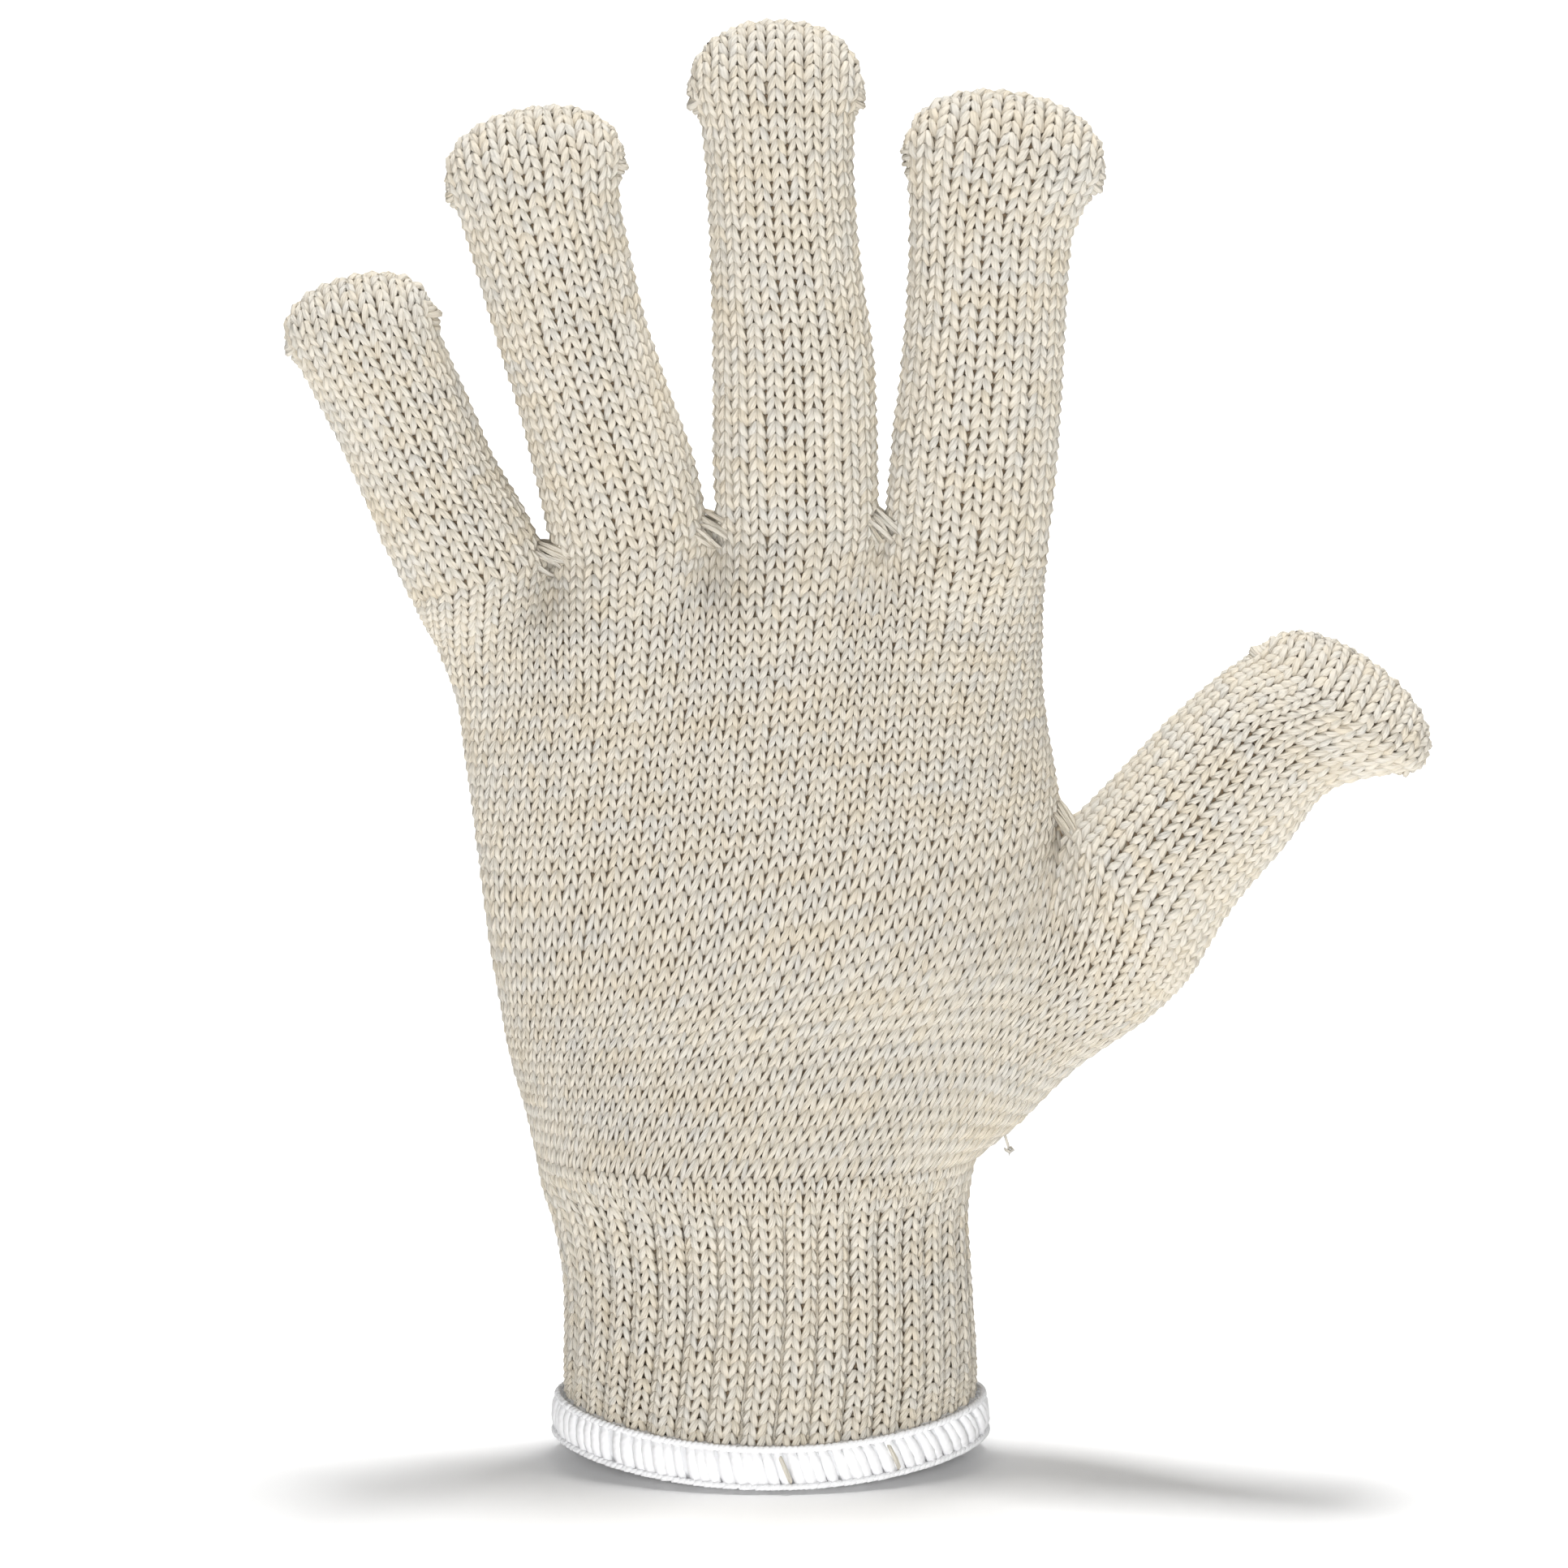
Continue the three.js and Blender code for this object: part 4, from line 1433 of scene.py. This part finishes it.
@dataclass
class SewnHem:
    """The overlocked edge of the cuff's mouth: wraps of thread, with a chain along each border.

    Attributes:
        rng: Gives each stitch its small differences.
        wraps: How many wraps go round the mouth.
        height: How far up the cuff they reach, in millimetres.
        thread: How far they stand off the knit, in millimetres.
        droop: How far the mouth's ends stand above its middle, in millimetres.
        lean: How many pitches a wrap leans from its top to its foot, at the mouth's left end.
        right_lean: The same at its right end.
        jitter: How unevenly the wraps lie, in pitches.
    """

    rng: np.random.Generator
    wraps: int = 98
    height: float = 7.5
    thread: float = 1.6
    droop: float = 3.5
    lean: float = 0.3
    right_lean: float = 1.9
    jitter: float = 0.14

    def place(self, share: Array, out: Array, up: Array) -> Array:
        """Finds points on and around the cuff's edge.

        Args:
            share: How far round the mouth, as shares of a turn.
            out: How far outside the cuff's face, in millimetres.
            up: The height over the mouth's lowest point, in millimetres.

        Returns:
            The points.
        """
        edge = CUFF_ROWS[0]
        half_width = (edge.right_across - edge.left_across) / 2.0 * PALM_WIDTH
        half_depth = edge.depth * PALM_DEPTH / 2.0
        middle = (edge.right_across + edge.left_across) / 2.0 * PALM_WIDTH
        row = np.array([middle - half_width, 0.0, middle + half_width, 0.0, half_depth, 0.0, 0.0])
        ring = section_ring(row, ROUND, share.ravel()).reshape(share.shape + (3,))
        outward = ring - [middle, 0.0, 0.0]
        outward = unit(outward / [half_width ** 2, 1.0, 1.0] * [1.0, half_depth ** -2.0, 0.0])
        along = (ring[..., 0] - middle) / half_width
        points = ring + outward * out[..., None]
        points[..., 2] = up + self.droop * along ** 2
        return points

    def strands_along(
        self, section: Array, starts: Array, lean: Array, radii: Array, flatness: float,
    ) -> Strands:
        """Lays one strand at each start, along a section of the hem.

        Args:
            section: The section's points, each out and up in millimetres.
            starts: Where each strand begins, as shares of a turn.
            lean: How far each point lies beyond the start, as shares of a turn.
            radii: The radius at each point.
            flatness: The strand's thickness as a share of its width.

        Returns:
            The strands.
        """
        count = len(starts)
        share = starts[:, None] + lean
        out = np.broadcast_to(section[:, 0], share.shape)
        up = np.broadcast_to(section[:, 1], share.shape)
        points = self.place(share, out, up)
        core = self.place(share, np.full(share.shape, -1.0), np.full(share.shape, self.height / 2.0))
        facing = unit(points - core)
        widths = radii * (1 + self.rng.normal(0.0, 0.07, (count, 1)))
        # Painted shade at both ends, where the thread dives under.
        tuck_shade = np.zeros(len(section))
        tuck_shade[[0, -1]] = 1.0
        return Strands(points, facing, widths, np.zeros(count), tuck_shade, 6, flatness)

    def wrap_strands(self) -> Strands:
        """The wraps, from the outer border down, under the edge and up to the inner border.

        Returns:
            The strands.
        """
        outer = self.thread
        inner = -KNIT_WALL - self.thread
        top = self.height
        section = np.array([
            [0.0, top + 0.1], [outer * 0.62, top - 0.5], [outer, top * 0.70], [outer * 1.08, top * 0.40],
            [outer * 0.75, 1.0], [-0.6, 0.45], [-KNIT_WALL - outer * 0.7, 1.0], [inner * 1.05, top * 0.45],
            [inner * 0.9, top * 0.8], [-KNIT_WALL - 0.2, top],
        ])
        down = np.array([0.0, 0.12, 0.4, 0.7, 1.0, 1.0, 0.9, 0.6, 0.3, 0.0])
        pitch = 1.0 / self.wraps
        starts = (np.arange(self.wraps) + self.rng.normal(0.0, self.jitter, self.wraps)) * pitch
        radii = np.array([0.0, 0.84, 1.06, 1.12, 1.04, 0.95, 1.04, 1.06, 0.95, 0.0])
        to_right = np.sin(math.pi * starts[:, None]) ** 2
        lean = self.lean * (1.0 - to_right) + self.right_lean * to_right
        return self.strands_along(section, starts, down * lean * pitch, radii, 0.72)

    def chain_strands(self, out: float, up: float, slope: float) -> Strands:
        """The chain along one border, as short crossing strands.

        Args:
            out: How far outside the cuff's face the chain lies.
            up: Its height.
            slope: How far each strand climbs.

        Returns:
            The strands.
        """
        pitch = 1.0 / self.wraps
        starts = (np.arange(self.wraps * 2) / 2.0 + self.rng.normal(0.0, 0.05, self.wraps * 2)) * pitch
        reach = np.linspace(-0.62, 0.62, 5) * pitch
        section = np.array([
            [out - 0.35, up - slope], [out, up - slope * 0.6], [out + 0.2, up], [out, up + slope * 0.6],
            [out - 0.35, up + slope],
        ])
        radii = np.array([0.0, 0.48, 0.56, 0.48, 0.0])
        return self.strands_along(section, starts, reach, radii, 0.9)

    def core(self) -> MeshData:
        """The padding of thread under the wraps.

        Returns:
            The mesh.
        """
        columns = 2 * self.wraps
        inner = -KNIT_WALL - self.thread
        section = np.array([
            [0.1, self.height], [self.thread * 0.9, self.height * 0.8],
            [self.thread * 1.05, self.height * 0.35], [0.3, 0.8],
            [-KNIT_WALL, 0.9], [inner * 0.85, self.height * 0.3],
            [inner * 0.85, self.height * 0.8], [-KNIT_WALL - 0.1, self.height],
        ])
        share = np.broadcast_to(np.arange(columns) / columns, (len(section), columns))
        out = np.repeat(section[:, :1], columns, axis=1)
        up = np.repeat(section[:, 1:], columns, axis=1)
        vertices = self.place(share, out, up).reshape(-1, 3)
        index = np.arange(len(vertices)).reshape(len(section), columns)
        after = np.roll(index, -1, axis=0)
        quads = np.stack([index, after, np.roll(after, -1, axis=1), np.roll(index, -1, axis=1)], axis=-1)
        yarn = np.stack([share.ravel() * self.wraps, up.ravel(), np.zeros(share.size)], axis=1)
        tone = np.zeros(share.size)
        # The core shows between the wraps with some painted shade.
        tuck_shade = np.full(share.size, 0.3)
        return MeshData(vertices, np.zeros((0, 3), int), quads.reshape(-1, 4), yarn, tone, tuck_shade)

    def caught_yarn(self) -> Strands:
        """Two ends of the cuff's own yarn that the needle caught on the outer face.

        Returns:
            The strands.
        """
        section = np.array([
            [0.4, self.height - 0.6], [self.thread + 0.5, self.height - 1.6],
            [self.thread + 0.95, self.height * 0.5], [self.thread + 0.75, self.height * 0.27],
            [self.thread - 0.2, 0.9],
        ])
        starts = np.array([0.257, 0.357])
        lean = np.array([0.0, 0.2, 0.6, 0.9, 1.0]) * 1.2 / self.wraps
        return self.strands_along(section, starts, lean, np.array([0.0, 0.34, 0.42, 0.36, 0.0]), 0.8)

    def build(self, finishes: Finishes) -> None:
        """Builds the hem's pieces.

        Args:
            finishes: The shared materials.
        """
        outer = self.thread
        wraps = [
            self.core(),
            self.wrap_strands().mesh(self.rng),
            self.chain_strands(outer * 1.15, 0.8, 0.35).mesh(self.rng),
            self.chain_strands(outer * 0.75, self.height - 0.2, 0.4).mesh(self.rng),
            self.chain_strands(-KNIT_WALL - outer * 0.8, self.height - 0.1, 0.28).mesh(self.rng),
        ]
        make_object("hem_overlock", MeshData.joined(wraps), finishes.thread, "hem")
        caught = self.caught_yarn().mesh(self.rng)
        make_object("hem_caught_yarn", caught, finishes.yarn, "hem")


@dataclass
class YarnTail:
    """The short knotted end of thread that hangs at the heel of the hand.

    Attributes:
        root: Where it leaves the knit, in millimetres.
        rng: Gives the strand its own number.
        growth: How much longer it is than its table says.
    """

    root: tuple[float, float, float]
    rng: np.random.Generator
    growth: float = 1.25

    def build(self, finishes: Finishes) -> None:
        """Builds the tail.

        Args:
            finishes: The shared materials.
        """
        hang = np.array([
            [-1.6, 0, 1.2], [-0.3, 0, 0.4], [0.35, -0.2, -0.9],
            [0.75, -0.1, -2.2], [0.95, 0, -3.2], [1.0, 0, -4.0],
        ])
        knot = np.array([
            [0.2, 0, -2.6], [0.45, -0.35, -2.9], [1.0, -0.4, -3.2],
            [1.45, 0.1, -3.0], [1.2, 0.45, -2.7], [0.7, 0.2, -2.8],
        ])
        centres = np.array(self.root) + np.stack([hang, knot]) * self.growth
        facing = np.broadcast_to([0.0, -1.0, 0.0], centres.shape)
        radii = np.array([[0.0, 0.3, 0.26, 0.28, 0.22, 0.0], [0.0, 0.3, 0.34, 0.34, 0.3, 0.0]])
        strands = Strands(centres, facing, radii, np.array([0.8, 0.8]), np.zeros(6))
        make_object("palm_thread_end", strands.mesh(self.rng), finishes.yarn, "palm")


def joined_ring(rings: list[Array]) -> Array:
    """Joins the base rings of tubes that stand side by side into one ring round them all.

    Args:
        rings: The base rings from left to right, each from its left edge over the front.

    Returns:
        One ring, with the two edges that meet at each crotch made one.
    """
    halves = [len(ring) // 2 for ring in rings]
    front = [ring[:half].copy() for ring, half in zip(rings, halves)]
    back = [ring[half:].copy() for ring, half in zip(rings, halves)]
    for left, right in zip(range(len(rings) - 1), range(1, len(rings))):
        shared = (rings[left][halves[left]] + rings[right][0]) / 2.0
        front[right][0] = shared
        back[left][0] = shared
    return np.concatenate(front + back[::-1])


def softened(ring: Array, reach: float) -> Array:
    """Smooths values round a ring.

    Args:
        ring: Values at even steps round the ring.
        reach: How many steps the smoothing reaches.

    Returns:
        The smoothed values.
    """
    columns = len(ring)
    turns = np.fft.fftfreq(columns)[:, None]
    weight = np.exp(-0.5 * (2.0 * math.pi * turns * reach) ** 2)
    return np.real(np.fft.ifft(np.fft.fft(ring, axis=0) * weight, axis=0))


def stretched(shares: Array, stretch: float) -> Array:
    """Spreads wales apart at the middle of each face and crowds them at the edges."""
    return shares - stretch * np.sin(4.0 * math.pi * shares)


@dataclass(frozen=True)
class Blend:
    """How a tube passes into the ring at its top.

    Attributes:
        bend_power: How soon its courses bend to the ring's outline: 1 is even, less is sooner.
        lobe_mm: How far below the top its section starts to take the ring's lobes.
        soft_wales: How many wales the bend spreads over once it has sunk to the bottom.
        twist_wales: How many wales its bottom is turned to the left.
        stretch: How much wider its wales are at the middle of each face at the bottom, in turns.
    """

    bend_power: float
    lobe_mm: float
    soft_wales: float
    twist_wales: float
    stretch: float = 0.0


def blended_skin(table: Array, pitch: float, top: Array, blend: Blend) -> Skin:
    """Makes the skin of a tube whose top takes the shape of a given ring.

    Args:
        table: Rows from millimetre_rows.
        pitch: The height of a course.
        top: The ring that the tube ends in.
        blend: How it passes into the ring.

    Returns:
        The skin.
    """
    rows, courses = even_rows(table, pitch)
    columns = len(top)
    shares = np.arange(columns) / columns
    twist = blend.twist_wales * SAMPLES / columns
    offset = top - section_ring(rows[-1], FULL, shares)
    grid = []
    for number, row in enumerate(rows):
        below = (courses - number / SAMPLES) * pitch
        down = 1.0 - number / (len(rows) - 1.0)
        bend = (1.0 - down) ** blend.bend_power
        lobe = float(smooth_step(np.array(1.0 - below / blend.lobe_mm)))
        soft = softened(offset, 0.01 + blend.soft_wales * SAMPLES * (1.0 - bend))
        ring = section_ring(row, FULL, stretched(shares - twist * down, blend.stretch * down))
        grid.append(ring + soft * [bend, lobe, bend])
    points = np.stack(grid)
    course_at = np.repeat(np.arange(len(rows))[:, None] / SAMPLES, columns, axis=1)
    return Skin(points, course_at, columns // SAMPLES, open_top=True)


@dataclass
class Glove:
    """The whole knitted glove: five stalls, the palm in two runs of courses, and the cuff.

    Attributes:
        finishes: The shared materials.
        rng: The source of the knit's small differences.
    """

    finishes: Finishes
    rng: np.random.Generator
    fingers: list[Stall] = field(init=False)
    thumb: Stall = field(init=False)

    def __post_init__(self) -> None:
        """Makes the stalls, which the palm's shape follows from."""
        self.fingers = [
            Stall("little_finger", LITTLE_ROWS, 0.040, FINGER_DEPTH, FINGER_WALES),
            Stall("ring_finger", RING_ROWS, 0.052, FINGER_DEPTH, FINGER_WALES),
            Stall("middle_finger", MIDDLE_ROWS, 0.0597, FINGER_DEPTH, FINGER_WALES),
            Stall("index_finger", INDEX_ROWS, 0.0576, FINGER_DEPTH, FINGER_WALES),
        ]
        self.thumb = Stall("thumb", THUMB_ROWS, 0.0468, THUMB_DEPTH, THUMB_WALES)

    def upper_palm(self) -> Skin:
        """The palm from the thumb's crotch to the fingers.

        Returns:
            The skin.
        """
        top = joined_ring([finger.skin.points[0] for finger in self.fingers])
        table = millimetre_rows(UPPER_PALM_ROWS, PALM_DEPTH, YARN_RADIUS)
        return blended_skin(table, COURSE_PITCH, top, Blend(1.0, 15.0, 3.0, PALM_TWIST_WALES))

    def lower_palm(self, upper: Skin) -> Skin:
        """The palm with the ball of the thumb, from the wrist up.

        Args:
            upper: The upper palm's skin, whose lowest ring it meets.

        Returns:
            The skin.
        """
        # The upper palm's lowest ring is turned, so it is read from the wale that is now at its left edge.
        palm_ring = np.roll(upper.points[0], -PALM_TWIST_WALES * SAMPLES, axis=0)
        top = joined_ring([palm_ring, self.thumb.skin.points[0]])
        table = millimetre_rows(LOWER_PALM_ROWS, PALM_DEPTH, YARN_RADIUS)
        return blended_skin(table, COURSE_PITCH, top, Blend(0.8, 24.0, 6.0, WRIST_TWIST_WALES, WRIST_STRETCH))

    def cuff(self, wrist: Array) -> Skin:
        """The ribbed cuff, whose ribs grow out of the plain knit at the wrist.

        Args:
            wrist: The palm's lowest ring.

        Returns:
            The skin, from the hem up.
        """
        columns = len(wrist)
        wales = columns // SAMPLES
        table = millimetre_rows(CUFF_ROWS, PALM_DEPTH, YARN_RADIUS, CUFF_LENGTH)
        rows, courses = even_rows(table, CUFF_COURSE_PITCH)
        # Of the three wales of a rib, two stand proud side by side and the third lies in the valley.
        place_in_rib = np.array([0.0, 0.24, 0.46, 0.68, 0.92, 0.96]) * RIB_WALES
        relief_in_rib = np.array([-0.90, 0.15, 0.35, 0.15, -0.90, -1.50])
        even = np.arange(columns) / SAMPLES
        ribs = wales // RIB_WALES
        ribbed = np.repeat(np.arange(ribs) * RIB_WALES, RIB_WALES * SAMPLES) + np.tile(place_in_rib, ribs)
        relief = np.tile(relief_in_rib, ribs)
        grids = []
        for number, row in enumerate(rows):
            depth_below_wrist = (courses - number / SAMPLES) * CUFF_COURSE_PITCH
            grown = float(smooth_step(np.array(depth_below_wrist / RIB_GROWTH)))
            shares = (even * (1 - grown) + ribbed * grown) / wales
            turned = (WRIST_TWIST_WALES + HEM_TWIST_WALES * depth_below_wrist / CUFF_LENGTH) / wales
            places = stretched(shares - turned, WRIST_STRETCH)
            ring = section_ring(row, FULL * (1 - grown) + ROUND * grown, places)
            sideways = ring[:, 0] - row[[0, 2]].mean()
            outward = unit(np.stack([sideways, ring[:, 1] * 1.6, np.zeros(columns)], axis=1))
            grids.append(ring + outward * (relief * grown)[:, None])
        points = np.stack(grids)
        points[-1] = wrist
        course_at = np.repeat(np.arange(len(rows))[:, None] / SAMPLES, columns, axis=1)
        return Skin(points, course_at, wales, open_top=True)

    def build(self) -> None:
        """Builds every knitted piece."""
        for stall in [*self.fingers, self.thumb]:
            tube = KnittedTube(stall.name, stall.skin, self.rng)
            tube.build(self.finishes, {"stitches": range(stall.wales)}, STALL_FIBRES)
            TipSeam(stall, self.rng).build(self.finishes)
        upper = self.upper_palm()
        lower = self.lower_palm(upper)
        cuff = self.cuff(lower.points[0])
        runs = (("palm", "upper", upper), ("palm", "lower", lower), ("cuff", "ribbed", cuff))
        for name, word, skin in runs:
            half = skin.wales // 2
            faces = {Face.FRONT: range(half), Face.BACK: range(half, skin.wales)}
            pieces = {f"{word}_{face.value}": wales for face, wales in faces.items()}
            KnittedTube(name, skin, self.rng).build(self.finishes, pieces, PALM_FIBRES)
        self.darn_crotches(upper)
        SewnHem(self.rng).build(self.finishes)
        YarnTail((40.3, -1.0, 58.6), self.rng).build(self.finishes)

    def darn_crotches(self, upper: Skin) -> None:
        """Darns the gaps between the fingers and beside the thumb.

        Args:
            upper: The upper palm's skin.
        """
        for left, right in zip(self.fingers, self.fingers[1:]):
            name = f"{left.name}_darn"
            CrotchDarn(name, "palm", left.skin, left.wales / 2.0, right.skin, self.rng).build(self.finishes)
        edge = upper.wales / 2.0 + PALM_TWIST_WALES
        CrotchDarn("thumb_darn", "palm", upper, edge, self.thumb.skin, self.rng).build(self.finishes)


# What the camera looks at, in millimetres.
GLOVE_MIDDLE = (2.2, 0.0, 119.5)


class SoftLight(NamedTuple):
    """A square soft light: its place and side in metres, its watts, and its aim in millimetres."""

    name: str
    place: tuple[float, float, float]
    side: float
    watts: float
    aim: tuple[float, float, float]


SOFT_LIGHTS = [
    SoftLight("key_softbox", (-0.25, -1.7, 0.3), 0.8, 18.6, GLOVE_MIDDLE),
    SoftLight("fill_softbox", (0.8, -1.6, 0.3), 0.8, 6.2, GLOVE_MIDDLE),
    SoftLight("top_softbox", (0.1, 0.2, 2.5), 0.5, 55.0, (0.0, 0.0, 0.0)),
    SoftLight("backdrop_softbox", (0.0, 0.9, 1.8), 1.6, 42.0, (0.0, 3000.0, 600.0)),
]


@dataclass
class Studio:
    """The camera, the light and the floor.

    Attributes:
        frame_width: The width of the picture at the glove, in millimetres.
        focal_mm: The lens.
        elevation_deg: How high the camera looks down.
        room_light: The brightness of the room beyond the paper.
        paper_front: Where the paper starts in front of the glove, in metres.
        paper_bend: Where it starts to curve up behind the glove, in metres.
        bend_radius: The radius of that curve, in metres.
        paper_height: How high it goes up, in metres.
        paper_side: How far it reaches to each side, in metres.
        paper_gap: How far it lies below the glove, in metres.
    """

    frame_width: float = 270.5
    focal_mm: float = 120.0
    elevation_deg: float = 10.0
    room_light: float = 0.12
    paper_front: float = -4.0
    paper_bend: float = 2.0
    bend_radius: float = 1.0
    paper_height: float = 5.0
    paper_side: float = 5.0
    paper_gap: float = 0.0004

    def build(self) -> None:
        """Builds the studio."""
        self.place_camera()
        self.lay_floor()
        for light in SOFT_LIGHTS:
            self.hang_light(light)
        world = bpy.data.worlds.new("pale_room")
        world.use_nodes = True
        background = world.node_tree.nodes["Background"]
        background.inputs[0].default_value = linear_colour("#FFFFFF")
        background.inputs[1].default_value = self.room_light
        bpy.context.scene.world = world
        bpy.context.scene.view_settings.view_transform = "Standard"

    def place_camera(self) -> None:
        """Places the camera at the photograph's angle."""
        data = bpy.data.cameras.new("camera")
        data.lens = self.focal_mm
        data.clip_start = 0.01
        camera = bpy.data.objects.new("camera", data)
        bpy.context.scene.collection.objects.link(camera)
        distance = self.frame_width * self.focal_mm / data.sensor_width * MM
        tilt = math.radians(self.elevation_deg)
        aim = Vector(GLOVE_MIDDLE) * MM
        camera.location = aim + Vector((0.0, -math.cos(tilt), math.sin(tilt))) * distance
        camera.rotation_euler = (math.radians(90.0) - tilt, 0.0, 0.0)
        bpy.context.scene.camera = camera

    def lay_floor(self) -> None:
        """Lays a floor that curves up into a backdrop far behind the glove."""
        bend, radius = self.paper_bend, self.bend_radius
        curve = np.linspace(0.1, math.pi / 2.0, 12)
        profile = [(self.paper_front, 0.0), (bend, 0.0)]
        profile += [(bend + radius * math.sin(a), radius * (1.0 - math.cos(a))) for a in curve]
        profile.append((bend + radius, self.paper_height))
        sides = (-self.paper_side, self.paper_side)
        vertices = [(x, y, z - self.paper_gap) for x in sides for y, z in profile]
        count = len(profile)
        faces = [(i, i + count, i + count + 1, i + 1) for i in range(count - 1)]
        mesh = bpy.data.meshes.new("paper_sweep")
        mesh.from_pydata(vertices, [], faces)
        mesh.polygons.foreach_set("use_smooth", [True] * len(faces))
        mesh.materials.append(StudioPaper().build())
        floor = bpy.data.objects.new("paper_sweep", mesh)
        bpy.context.scene.collection.objects.link(floor)

    def hang_light(self, soft: SoftLight) -> None:
        """Hangs a soft light.

        Args:
            soft: The light.
        """
        data = bpy.data.lights.new(soft.name, "AREA")
        data.size = soft.side
        data.energy = soft.watts
        light = bpy.data.objects.new(soft.name, data)
        light.location = soft.place
        towards = Vector(soft.aim) * MM - Vector(soft.place)
        light.rotation_euler = towards.to_track_quat("-Z", "Y").to_euler()
        bpy.context.scene.collection.objects.link(light)


def main() -> None:
    """Builds the studio and the glove, and reports each piece."""
    logging.basicConfig(level=logging.INFO, format="%(name)s: %(message)s")
    rng = np.random.default_rng(SEED)
    finishes = Finishes(CardedCottonYarn().build(), PurlFace().build(), OverlockThread().build())
    Studio().build()
    Glove(finishes, rng).build()


if __name__ == "__main__":
    main()
